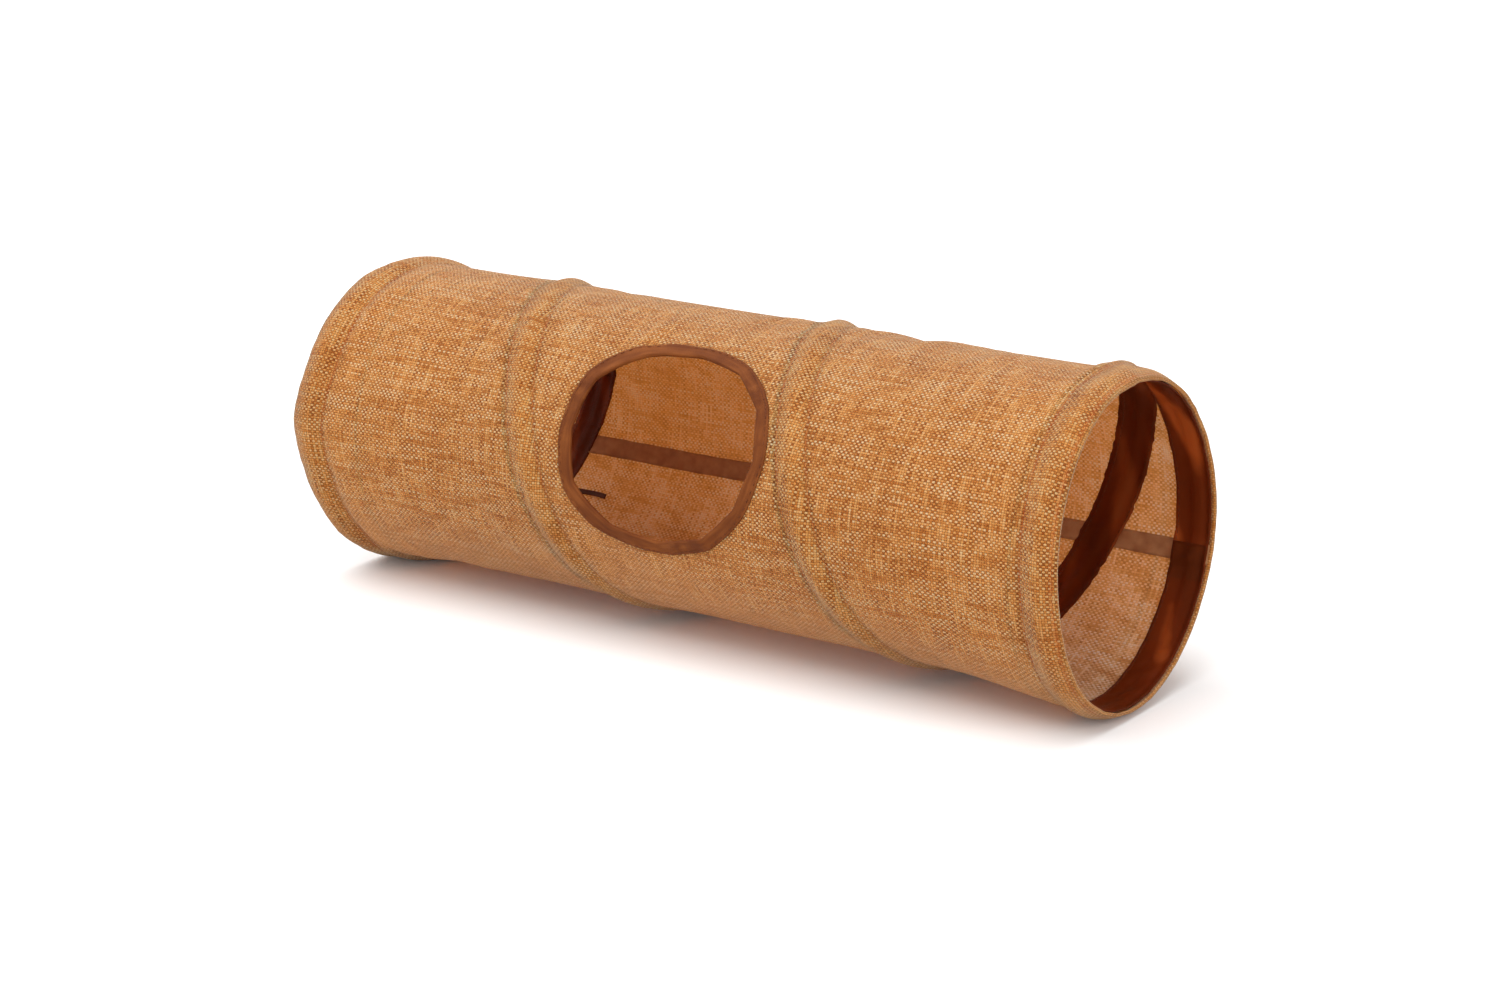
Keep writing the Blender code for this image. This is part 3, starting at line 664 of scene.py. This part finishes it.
# Painted shade: the casing's satin is the same satin as the facings', painted darker inside the tunnel.
satin = brown_satin("brown_satin", (0.105, 0.0135, 0.0020), painted_shine=2.0)

# The seam tape. A thin strip of brown twill, sewn over the raw edges of the sleeve's one seam for the
# whole length of the tunnel. It runs under the coil's tapes.
SEAM_TAPE_WIDTH, SEAM_TAPE_THICKNESS = 0.012, 0.0004
SEAM_TAPE_DRIFT, DRIFT_FROM, DRIFT_TO = 0.0026, 0.16, 0.32
TWILL_EDGE, TWILL_EDGE_LENGTH = 0.0004, 0.011
TWILL_SEAT, TWILL_CROWN = 0.0002, 0.0003
TWILL_END, TWILL_STEP = 0.0012, 0.003
RIM_DEPTH, RIM_CLEAR = 0.005, 0.008
TWILL_PITCH, TWILL_CLOUD, TWILL_RELIEF = 0.0009, 0.006, 0.00015


def brown_twill():
    finish = Finish("brown_twill", 0.82, Sheen_Weight=0.1)
    u, v = finish.flat_place()
    diagonal = finish.maths("SINE", (u + 1.7 * v) * (math.tau / TWILL_PITCH))
    cloudy = finish.cloud(u, v, TWILL_CLOUD, 3.0)
    stops = [(0.25, (0.36, 0.150, 0.055)), (0.75, (0.58, 0.30, 0.14))]
    finish.feed("Base Color", finish.ramp(cloudy + 0.06 * diagonal, stops))
    finish.bump(0.3 * diagonal + cloudy, TWILL_RELIEF)
    finish.see_through((0.64, 0.38, 0.19), 0.4)
    return finish.material


def lay(name, bm, finish, thickness):
    """A flat tape or ribbon, rolled up with the cloth and given its finish and thickness."""
    roll_up(bm)
    bmesh.ops.recalc_face_normals(bm, faces=bm.faces)
    piece = as_object(name, bm, finish)
    thicken(piece, thickness)
    return piece


seam_half = SEAM_TAPE_WIDTH / 2
bm = pattern(
    steps(TWILL_END, LENGTH - TWILL_END, TWILL_STEP),
    steps(SEAM_ROUND - seam_half, SEAM_ROUND + seam_half, SEAM_TAPE_WIDTH / 6),
)
for vert in bm.verts:
    edge = abs(vert.co.y - SEAM_ROUND) / seam_half
    near_rim = 1 - smooth(min(vert.co.x, LENGTH - vert.co.x), RIM_DEPTH, RIM_CLEAR)
    ragged = noise.noise(Vector((vert.co.x / TWILL_EDGE_LENGTH, vert.co.y * 90, 2)))
    vert.co.y += TWILL_EDGE * ragged
    vert.co.y -= SEAM_TAPE_DRIFT * (1 - smooth(vert.co.x, DRIFT_FROM, DRIFT_TO))
    vert.co.z = -CLOTH - TWILL_SEAT - TWILL_CROWN * (1 - edge**2) - near_rim * 2 * TURN_IN_RADIUS
hang(lay("seam_twill", bm, brown_twill(), SEAM_TAPE_THICKNESS), "twill_tape", "seam_tape")

# The spring wire. One unbroken 2 mm spring-steel wire: a closed ring at each mouth and the helix
# between them. Its ring ends lie beside the ring, held in a crimped ferrule.
WIRE_RADIUS, WIRE_DEPTH = 0.0010, 0.0027
RING_LAP_SPACING, RING_LAP_TURN = 0.003, math.radians(30)
WIRE_STEP = math.radians(5)
SCRATCHES = 900.0


def drawn_steel(name, colour, roughness):
    """Steel with fine scratches, duller in places."""
    finish = Finish(name, roughness, Metallic=1.0)
    place = finish.node("TexCoord", {}, {}, output=3)
    scratches = finish.node("TexNoise", {}, {"Vector": place, "Scale": SCRATCHES, "Detail": 3.0})
    dull, bright = tuple(0.7 * part for part in colour), tuple(1.25 * part for part in colour)
    finish.feed("Base Color", finish.ramp(scratches, [(0.3, dull), (0.7, bright)]))
    finish.feed("Roughness", roughness - 0.1 + 0.2 * scratches)
    return finish.material


def coil_place(turn):
    """The flat place of the wire, counted through its rings and the helix."""
    if turn < LEAVES_LEFT_RING:
        along = RING_INSET - RING_LAP_SPACING * (LEAVES_LEFT_RING - turn) / math.tau
    elif turn > JOINS_RIGHT_RING:
        along = LENGTH - RING_INSET + RING_LAP_SPACING * (turn - JOINS_RIGHT_RING) / math.tau
    else:
        along = wire_along(turn)
    return along, turn * RADIUS


coil_start = LEAVES_LEFT_RING - math.tau - RING_LAP_TURN
coil_end = JOINS_RIGHT_RING + math.tau + RING_LAP_TURN
curve = bpy.data.curves.new("spring_wire", "CURVE")
curve.dimensions = "3D"
curve.bevel_depth, curve.bevel_resolution = WIRE_RADIUS, 2
curve.use_fill_caps = True
spline = curve.splines.new("POLY")
turns = steps(coil_start, coil_end, WIRE_STEP)
spline.points.add(len(turns) - 1)
for point, turn in zip(spline.points, turns):
    point.co = (*on_tunnel(*coil_place(turn), -WIRE_DEPTH, from_crest=True), 1)
bent = in_scene("spring_wire", curve)
wire_mesh = bpy.data.meshes.new_from_object(bent)
bpy.data.objects.remove(bent, do_unlink=True)
wire_mesh.materials.append(drawn_steel("drawn_spring_steel", (0.46, 0.45, 0.44), 0.35))
hang(in_scene("spring_wire", wire_mesh), "spring_steel", "coil_wire")

# The ferrules. Each ring's end is held beside the loop next to it by an oval steel crimp, squeezed
# flat on both faces and hidden in the facing.
FERRULE_LENGTH, FERRULE_WALL = 0.012, 0.0007
FERRULE_SIDES, FERRULE_EDGE = 28, 0.0003
crimp_steel = drawn_steel("plated_crimp_steel", (0.62, 0.60, 0.57), 0.4)


def make_ferrule(name, turn, body, node):
    """An oval crimp over the wire at this turn and the loop beside it."""
    along, round_it = coil_place(turn)
    beside = coil_place(turn + math.tau)[0]
    half_high = WIRE_RADIUS + FERRULE_WALL
    half_wide = half_high + abs(beside - along) / 2
    bm = bmesh.new()
    bmesh.ops.create_cone(
        bm, cap_ends=True, segments=FERRULE_SIDES, radius1=half_high, radius2=half_high,
        depth=FERRULE_LENGTH, matrix=Matrix.Rotation(math.pi / 2, 4, "X"),
    )
    rims = [edge for edge in bm.edges if any(len(face.verts) == FERRULE_SIDES for face in edge.link_faces)]
    bmesh.ops.bevel(
        bm, geom=rims, offset=FERRULE_EDGE, offset_type="OFFSET", segments=2, profile=0.5,
        affect="EDGES", material=-1,
    )
    bmesh.ops.scale(bm, vec=(half_wide / half_high, 1, 1), verts=bm.verts)
    between = (along + beside) / 2
    middle = on_tunnel(between, round_it, -WIRE_DEPTH, from_crest=True)
    ahead = on_tunnel(between, round_it + FERRULE_LENGTH, -WIRE_DEPTH, from_crest=True) - middle
    outwards = middle - Vector((middle.x, 0, AXIS_HEIGHT + LEFT_HANGS))
    run = ahead.normalized()
    side = run.cross(outwards).normalized()
    lie = Matrix((side, run, side.cross(run))).transposed().to_4x4()
    bmesh.ops.transform(bm, matrix=Matrix.Translation(middle) @ lie, verts=bm.verts)
    bmesh.ops.recalc_face_normals(bm, faces=bm.faces)
    crimp = as_object(name, bm, crimp_steel)
    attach(crimp, body)
    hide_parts(node)


FERRULE_TURN = FERRULE_LENGTH / RADIUS
make_ferrule("left_ring_crimp", coil_start + FERRULE_TURN / 2, "left_mouth", "left_ring_ferrule")
make_ferrule(
    "right_ring_crimp", JOINS_RIGHT_RING + 1.5 * FERRULE_TURN, "right_mouth", "right_ring_ferrule"
)

# The coil casing. Satin tape about 24 mm wide lies over the helix inside the sleeve, sewn down near
# both edges. It is raised over the wire and frays a little at its edges.
CASING_LEFT, CASING_RIGHT = 0.0130, 0.0108
CASING_CORNER, CASING_MITRE, CASING_TUCKED = 0.0215, 0.9, 0.006
CASING_STRANDS, CASING_STEP = 14, 0.0022
CASING_RIM, CASING_RIM_HALF = 0.0135, 0.004
FRAY, FRAY_LENGTH = 0.0010, 0.004
RUMPLE, RUMPLE_LENGTH = 0.00035, 0.012
TAPE_THICKNESS, TAPE_SEAT = 0.00045, 0.0003
WIRE_STAND = WIRE_DEPTH + WIRE_RADIUS + 0.0004
WIRE_COVER, CASING_RAMP, FACING_RAMP = 0.0016, 0.0072, 0.0060
SEAM_CLEARANCE, SEAM_RAMP = 0.0004, 0.003
FACING_WIDTH = 0.0235


def tape_lift(along, round_it, wires, ramp, seat):
    """Lift of a tape's back: on the cloth, but far enough in to pass over the nearest wire."""
    distance = min(abs(along - place) for place in wires)
    stand = min(1, max(0, 1 - (distance - WIRE_COVER) / ramp))
    rest = CLOTH + seat
    over_wire = WIRE_STAND - cloth_drop(min(max(along, 0), LENGTH), round_it / RADIUS % math.tau)
    return -(rest + max(0, over_wire - rest) * stand)


def over_seam(round_it):
    """How much further in a tape lies where it crosses the seam tape."""
    from_seam = (round_it - SEAM_ROUND + CIRCUMFERENCE / 2) % CIRCUMFERENCE - CIRCUMFERENCE / 2
    beyond = abs(from_seam) - seam_half
    return (SEAM_TAPE_THICKNESS + SEAM_CLEARANCE) * (1 - smooth(beyond, 0, SEAM_RAMP))


under_facing = (FACING_WIDTH - RING_INSET - CASING_TUCKED) / HELIX_RATE
casing_start, casing_end = LEAVES_LEFT_RING + under_facing, JOINS_RIGHT_RING - under_facing
bm = pattern(
    steps(-1, 1, 2 / CASING_STRANDS), steps(casing_start * RADIUS, casing_end * RADIUS, CASING_STEP)
)
for vert in bm.verts:
    across, round_it = vert.co.x, vert.co.y
    wire_place = wire_along(round_it / RADIUS)
    fray = FRAY * abs(across) ** 6 * noise.noise(Vector((across * 3, round_it / FRAY_LENGTH, 9)))
    from_start, from_end = round_it - casing_start * RADIUS, casing_end * RADIUS - round_it
    if across > 0:
        half = min(CASING_RIGHT, CASING_CORNER - wire_place + CASING_MITRE * from_start)
    else:
        half = min(CASING_LEFT, wire_place - LENGTH + CASING_CORNER + CASING_MITRE * from_end)
    along = wire_place + half * across + fray
    rim = CASING_RIM_HALF * across
    vert.co.x = min(max(along, CASING_RIM + rim), LENGTH - CASING_RIM + rim)
    rumple = RUMPLE * noise.noise(Vector((across * 1.3, round_it / RUMPLE_LENGTH, 4))) * (1 - across**4)
    lift = tape_lift(vert.co.x, round_it, [wire_place], CASING_RAMP, TAPE_SEAT)
    vert.co.z = lift - over_seam(round_it) - abs(rumple)
chart(bm)
hang(lay("coil_satin", bm, satin, TAPE_THICKNESS), "satin_tape", "coil_casing")

# The mouth facings. A wider satin tape lines each mouth from just inside the turned rim, over the
# ring and its crimp. Its ends overlap beside the seam, where the doubled tape is painted darker, as
# shade.
FACING_OVERLAP = 0.022
FACING_START = SEAM_ROUND - 0.017
FACING_SEAT = 0.0009
FACING_RIM, FACING_STEP, FREE_EDGE, SEWN_EDGE = 0.0022, 0.0014, 0.017, 0.022
FACING_RIM_DEPTH, FACING_RIM_CLEAR = 0.0060, 0.0078
FERRULE_CLEARANCE = 0.0012
FACING_FRAY, FACING_FRAY_LENGTH = 0.0007, 0.013
SLACK_STARTS, SLACK_FULL, FACING_SLACK = 0.004, 0.009, 0.0016
RUCK_ROUND, RUCK_ALONG, RUCK_SLANT = 0.010, 0.03, 0.8
LAP_STARTS, LAP_ENDS, LAP_CLEARANCE = 0.004, 0.002, 0.0002
# Painted light: the facings' satin is the casing's satin, painted lighter and shinier at the open mouths.
mouth_satin = brown_satin("mouth_satin", (0.140, 0.0190, 0.0026), 3.2, FACING_START + CIRCUMFERENCE)


def make_facing(name, from_rim, body, node):
    """One mouth's facing. from_rim turns a distance in from that rim into a place along."""
    full_turn = FACING_START + CIRCUMFERENCE
    bm = pattern(
        steps(FACING_RIM, FACING_WIDTH, FACING_STEP),
        steps(FACING_START, full_turn + FACING_OVERLAP, CASING_STEP),
    )
    for vert in bm.verts:
        inset, round_it = vert.co.x, vert.co.y
        far_edge = smooth(inset, FREE_EDGE, FACING_WIDTH)
        ragged = noise.noise(Vector((round_it / FACING_FRAY_LENGTH, 7, from_rim(0) * 40)))
        inset += FACING_FRAY * far_edge * ragged
        along = from_rim(inset)
        lap = smooth(round_it, full_turn - LAP_STARTS, full_turn + LAP_ENDS)
        turned_rim = 1 - smooth(inset, FACING_RIM_DEPTH, FACING_RIM_CLEAR)
        slack = smooth(inset, SLACK_STARTS, SLACK_FULL) * (1 - smooth(inset, FREE_EDGE, SEWN_EDGE))
        slanted = (round_it + RUCK_SLANT * inset) / RUCK_ROUND
        ruck = noise.noise(Vector((slanted, inset / RUCK_ALONG, 13 + from_rim(0) * 20)))
        rings = [from_rim(RING_INSET), from_rim(RING_INSET - RING_LAP_SPACING)]
        lift = tape_lift(along, round_it, rings, FACING_RAMP, FACING_SEAT)
        lift = min(lift, -CLOTH - TAPE_SEAT - turned_rim * 2 * TURN_IN_RADIUS)
        lift -= slack * (FERRULE_CLEARANCE + FACING_SLACK * max(0, ruck))
        lift -= over_seam(round_it) + lap * (TAPE_THICKNESS + LAP_CLEARANCE)
        vert.co = Vector((along, round_it, lift))
    chart(bm)
    facing = lay(name, bm, mouth_satin, TAPE_THICKNESS)
    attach(facing, body)
    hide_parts(node)


make_facing("left_mouth_satin", lambda inset: inset, "left_mouth", "left_mouth_facing")
make_facing("right_mouth_satin", lambda inset: LENGTH - inset, "right_mouth", "right_mouth_facing")

# The peephole's binding. Brown bias tape folded over the raw edge and sewn through both legs. It
# puckers where it rounds the corners, and its outer edge curls off the cloth.
BINDING_WIDTH, BINDING_THICKNESS = 0.0075, 0.0005
BINDING_LOOP, BINDING_FOLD, BINDING_STEP = 0.372, 0.0013, 0.00143
BINDING_UNEVEN, BINDING_CURL, BINDING_RIPPLE = 0.07, 0.0006, 0.0003
CURL_WAVES, RIPPLE_WAVES = 5.5, 17
BIAS_PITCH, BIAS_PULL, BIAS_CLOUD, BIAS_RELIEF = 0.0007, 0.0016, 0.018, 0.00025
# The tape's cross-section: shares of its width outside the opening, and millimetres of lift.
BINDING_SECTION = (
    (1.00, 0.05), (0.98, 0.70), (0.75, 0.85), (0.45, 0.85), (0.14, 1.0), (0.02, 0.8), (-0.02, -0.4),
    (0.02, -1.7), (0.14, -2.0), (0.45, -1.9), (0.75, -1.9), (0.98, -1.8), (1.00, -1.0),
)


def bias_binding():
    finish = Finish("bias_binding", 0.7, Specular_IOR_Level=0.15)
    u, v = finish.flat_place()
    turn = math.tau / BIAS_PITCH
    threads = finish.maths("SINE", (u + v) * turn) * finish.maths("SINE", (u - v) * turn)
    pulled = 0.45 * finish.cloud(u, v * 0.10, BIAS_PULL, 1.0) + 0.55 * finish.cloud(u, v, BIAS_CLOUD)
    stops = [(0.34, (0.112, 0.026, 0.0042)), (0.5, (0.152, 0.039, 0.0066)), (0.66, (0.210, 0.060, 0.0120))]
    finish.feed("Base Color", finish.ramp(pulled + 0.04 * threads, stops))
    finish.bump(0.15 * threads + pulled, BIAS_RELIEF)
    return finish.material


bm = pattern(
    [BINDING_FOLD * point for point in range(len(BINDING_SECTION))], steps(0, BINDING_LOOP, BINDING_STEP)
)
for vert in bm.verts:
    width_share, rise = BINDING_SECTION[round(vert.co.x / BINDING_FOLD)]
    share = vert.co.y / BINDING_LOOP % 1
    ring = Vector((math.cos(math.tau * share), math.sin(math.tau * share), 0))
    curl = noise.noise(ring * CURL_WAVES + Vector((0, 0, 3)))
    ripple = noise.noise(ring * RIPPLE_WAVES)
    margin = BINDING_WIDTH * width_share * (1 + BINDING_UNEVEN * curl)
    along, round_it = peephole_edge(share, margin)
    off_cloth = (BINDING_CURL * max(0, curl) + BINDING_RIPPLE * ripple) * width_share
    lift = 0.001 * rise + off_cloth * (1 if rise > 0 else -1)
    vert.co = Vector((along, round_it, lift))
roll_up(bm)
bmesh.ops.remove_doubles(bm, verts=bm.verts, dist=WELD)
bmesh.ops.recalc_face_normals(bm, faces=bm.faces)
binding = as_object("peephole_bias_tape", bm, bias_binding())
refine = binding.modifiers.new("round", "SUBSURF")
refine.levels = refine.render_levels = 1
bake(binding)
thicken(binding, BINDING_THICKNESS)
hang(binding, "binding_tape", "peephole_binding")

# The ribbon tail. A loose end of narrow dark ribbon, caught under the edge of the first casing. It
# lies along the far wall and curls up at its bare cut end.
RIBBON_WIDTH, RIBBON_THICKNESS, RIBBON_LENGTH = 0.0033, 0.00035, 0.0375
RIBBON_ROUND, RIBBON_TUCKED = math.radians(46.8) * RADIUS, 0.0018
RIBBON_BOW, RIBBON_OFF_WALL = 0.0012, 0.0018
RIBBON_CURL, RIBBON_CURL_STARTS = 0.0016, 0.45
RIBBON_TWIST, RIBBON_TWIST_RATE = 0.10, 2.2
ribbon_start = wire_along(RIBBON_ROUND / RADIUS) + CASING_RIGHT - RIBBON_TUCKED


def ribbon_place(share, side):
    """A flat place on the ribbon: share of its length, and metres to one side of its middle."""
    along = ribbon_start + RIBBON_LENGTH * share
    bow = RIBBON_BOW * math.sin(math.pi * share)
    curl = RIBBON_CURL * smooth(share, RIBBON_CURL_STARTS, 1)
    twist = RIBBON_TWIST * side * math.sin(RIBBON_TWIST_RATE * share)
    return along, RIBBON_ROUND + bow + side, -RIBBON_OFF_WALL - curl - twist


bm = pattern(steps(0, 1, 1 / 40), steps(-RIBBON_WIDTH / 2, RIBBON_WIDTH / 2, RIBBON_WIDTH / 6))
for vert in bm.verts:
    vert.co = Vector(ribbon_place(vert.co.x, vert.co.y))
chart(bm)
ribbon_satin = brown_satin("dark_ribbon_satin", (0.062, 0.012, 0.003), painted_shine=1.5)
ribbon = lay("loose_ribbon", bm, ribbon_satin, RIBBON_THICKNESS)
ribbon_line = [on_tunnel(*ribbon_place(share, 0)) for share in steps(0, 1, 1 / 16)]
ribbon_parts = hang(ribbon, "dark_ribbon", "ribbon_tail")

# The stitching. Brown polyester thread in lockstitch, three stitches to the centimetre, along both
# edges of every tape. It shows on the outside of the sleeve and again on the tape inside.
STITCH_PITCH, STITCH_LENGTH, THREAD = 0.0033, 0.0027, 0.00042
THREAD_CLOUD, THREAD_RELIEF = 0.002, 0.0001
ON_CLOTH, ON_TAPE = -0.00008, 0.0001
SEAM_ROW, SEAM_ROW_END = 0.0045, 0.002
BINDING_ROW, ON_BINDING, UNDER_BINDING = 0.0060, 0.00092, -0.00245


def thread_finish(name, dark, light):
    finish = Finish(name, 0.75, Specular_IOR_Level=0.2)
    u, v = finish.flat_place()
    cloudy = finish.cloud(u, v, THREAD_CLOUD)
    finish.feed("Base Color", finish.ramp(cloudy, [(0.3, dark), (0.7, light)]))
    finish.bump(cloudy, THREAD_RELIEF)
    return finish.material


tan_thread = thread_finish("tan_thread", (0.40, 0.145, 0.034), (0.60, 0.26, 0.075))
dark_thread = thread_finish("dark_thread", (0.075, 0.016, 0.005), (0.16, 0.045, 0.014))


def sew(bm, route, length, lift):
    """A row of stitches. route gives a flat place at each distance along the row."""
    single = bmesh.new()
    bmesh.ops.create_uvsphere(single, u_segments=6, v_segments=5, radius=0.5)
    bmesh.ops.scale(single, vec=(STITCH_LENGTH, THREAD, THREAD), verts=single.verts)
    row = as_object("row", single)
    array = row.modifiers.new("row", "ARRAY")
    array.count = int(length / STITCH_PITCH)
    array.use_relative_offset, array.use_constant_offset = False, True
    array.constant_offset_displace = (STITCH_PITCH, 0, 0)
    bake(row)
    for vert in row.data.vertices:
        number = round(vert.co.x / STITCH_PITCH)
        start, end = route(number * STITCH_PITCH), route(number * STITCH_PITCH + STITCH_LENGTH)
        middle = Vector(((start[0] + end[0]) / 2, (start[1] + end[1]) / 2, 0))
        ahead = Vector((end[0] - start[0], end[1] - start[1], 0)).normalized()
        side = Vector((-ahead.y, ahead.x, 0))
        sunk = lift(middle.y) if callable(lift) else lift
        place = middle + ahead * (vert.co.x - number * STITCH_PITCH) + side * vert.co.y
        vert.co = (place.x, place.y, sunk + vert.co.z)
    bm.from_mesh(row.data)
    bpy.data.objects.remove(row, do_unlink=True)


def finish_stitches(name, bm, thread):
    """Rolls rows of stitches up with the cloth, and hangs them with the tapes."""
    chart(bm)
    roll_up(bm)
    return hang(as_object(name, bm, thread), "satin_tape")


def hem_row(inset):
    """The route of a row round the tunnel."""
    return lambda distance: (inset, distance)


slant = math.hypot(RADIUS, HELIX_RATE)


def helix_row(offset):
    """The route of a row beside the helix."""

    def route(distance):
        turn = casing_start + distance / slant
        return wire_along(turn) + offset, turn * RADIUS

    return route


helix_length = (casing_end - casing_start) * slant
outside, inside = bmesh.new(), bmesh.new()
for offset in (-STITCH_ROW, STITCH_ROW):
    sew(outside, helix_row(offset), helix_length, ON_CLOTH)
    sew(
        inside, helix_row(offset), helix_length,
        lambda round_it: -CLOTH - TAPE_SEAT - TAPE_THICKNESS - ON_TAPE - over_seam(round_it),
    )
for from_rim in (lambda inset: inset, lambda inset: LENGTH - inset):
    for inset in (EDGE_STITCH, FACING_STITCH):
        sew(outside, hem_row(from_rim(inset)), CIRCUMFERENCE, ON_CLOTH)
        deep = CLOTH + (TAPE_SEAT + 2 * TURN_IN_RADIUS if inset == EDGE_STITCH else FACING_SEAT)
        sew(
            inside, hem_row(from_rim(inset)), CIRCUMFERENCE,
            lambda round_it, deep=deep: -deep - TAPE_THICKNESS - ON_TAPE - over_seam(round_it),
        )
for side in (-SEAM_ROW, SEAM_ROW):
    sew(
        outside, lambda distance, side=side: (SEAM_ROW_END + distance, SEAM_ROUND + side),
        LENGTH - 2 * SEAM_ROW_END, ON_CLOTH,
    )
finish_stitches("outer_stitching", outside, tan_thread)
finish_stitches("inner_stitching", inside, dark_thread)

binding_rows = bmesh.new()
for lift in (ON_BINDING, UNDER_BINDING):
    sew(
        binding_rows, lambda distance: peephole_edge(distance / BINDING_LOOP % 1, BINDING_ROW),
        BINDING_LOOP, lift,
    )
finish_stitches("binding_stitching", binding_rows, dark_thread)

# The sleeve's flat sizes. It is cut as one rectangle with a hole. Here it is parted at the hems, so
# each part is one sheet.
peephole_area = 0.0100
hem_cloth = math.pi * TURN_IN_RADIUS + TURN_IN_LENGTH
left_flat = LEFT_HEM_END + LENGTH / 2 + hem_cloth
right_flat = LENGTH / 2 - RIGHT_HEM_START + hem_cloth
middle_flat = RIGHT_HEM_START - LEFT_HEM_END
for part, flat in zip(sleeve_parts, (left_flat, middle_flat, right_flat)):
    whole = flat * CIRCUMFERENCE
    area = whole - peephole_area if flat is middle_flat else whole

# The floor. A plain pale sweep under the tunnel, white where the camera looks at it. It keeps the
# tunnel's shadow, and sends a little warm light back up.
FLOOR_SIZE = 30.0
FLOOR_COLOUR, FLOOR_SEEN = (0.72, 0.67, 0.60, 1), (0.97, 0.97, 0.97, 1)


def pale_floor():
    finish = Finish("pale_floor", 0.9, Specular_IOR_Level=0.0)
    finish.feed("Base Color", finish.mix(finish.looked_at(), FLOOR_COLOUR, FLOOR_SEEN))
    return finish.material


bm = bmesh.new()
bmesh.ops.create_grid(bm, x_segments=8, y_segments=8, size=FLOOR_SIZE / 2)
floor = as_object("floor", bm, pale_floor())

# The light. Broad soft light from overhead, from the front and from beyond the right mouth, in a
# pale room.
ROOM_LIGHT = 0.50
world = bpy.data.worlds.new("pale_room")
bpy.context.scene.world = world
world.use_nodes = True
room = Nodes(world.node_tree)
background = room.tree.nodes["Background"]
background.inputs["Color"].default_value = (1, 1, 1, 1)
strength = ROOM_LIGHT + (1 - ROOM_LIGHT) * room.looked_at()
room.tree.links.new(strength.link, background.inputs["Strength"])


def soft_sun(name, source, strength, spread):
    """Light from this direction, softened over this many degrees."""
    lamp = bpy.data.lights.new(name, "SUN")
    lamp.energy, lamp.angle = strength, math.radians(spread)
    made = in_scene(name, lamp)
    made.rotation_mode = "QUATERNION"
    made.rotation_quaternion = Vector(source).to_track_quat("Z", "Y")


soft_sun("overhead", (-0.25, -0.20, 1), 2.60, 70)
soft_sun("front", (0.1, -1, 0.55), 0.64, 60)
soft_sun("off_right_mouth", (1, -0.26, 0.50), 1.10, 45)

# The camera. It stands where the photograph was taken from. Its place is worked out beside a level
# tunnel, then tipped and lifted with it, as the hanging mouths tip and lift the coil.
PHOTO_LENS, PHOTO_DISTANCE = 80.77, 1.8966
PHOTO_AZIMUTH, PHOTO_ELEVATION, PHOTO_ROLL = 0.606413, 0.290322, -0.0045848
PHOTO_RIGHT, PHOTO_UP = 0.00174, -0.01879
back = Vector((
    math.sin(PHOTO_AZIMUTH) * math.cos(PHOTO_ELEVATION),
    -math.cos(PHOTO_AZIMUTH) * math.cos(PHOTO_ELEVATION),
    math.sin(PHOTO_ELEVATION),
))
right = Vector((math.cos(PHOTO_AZIMUTH), math.sin(PHOTO_AZIMUTH), 0))
up = back.cross(right)
right, up = (
    math.cos(PHOTO_ROLL) * right + math.sin(PHOTO_ROLL) * up,
    math.cos(PHOTO_ROLL) * up - math.sin(PHOTO_ROLL) * right,
)
target = Vector((0, 0, AXIS_HEIGHT)) + PHOTO_RIGHT * right + PHOTO_UP * up
pose = Matrix((right, up, back)).transposed().to_4x4()
pose.translation = target + PHOTO_DISTANCE * back
pivot = Matrix.Translation((-LENGTH / 2, 0, AXIS_HEIGHT))
tip = Matrix.Rotation(-math.atan(TIP), 4, "Y")
camera_data = bpy.data.cameras.new("camera")
camera_data.lens = PHOTO_LENS
camera_data.sensor_width = 36
camera = in_scene("camera", camera_data)
lifted = Matrix.Translation((0, 0, LEFT_HANGS))
camera.matrix_world = lifted @ pivot @ tip @ pivot.inverted() @ pose
bpy.context.scene.camera = camera
bpy.context.scene.view_settings.view_transform = "Standard"
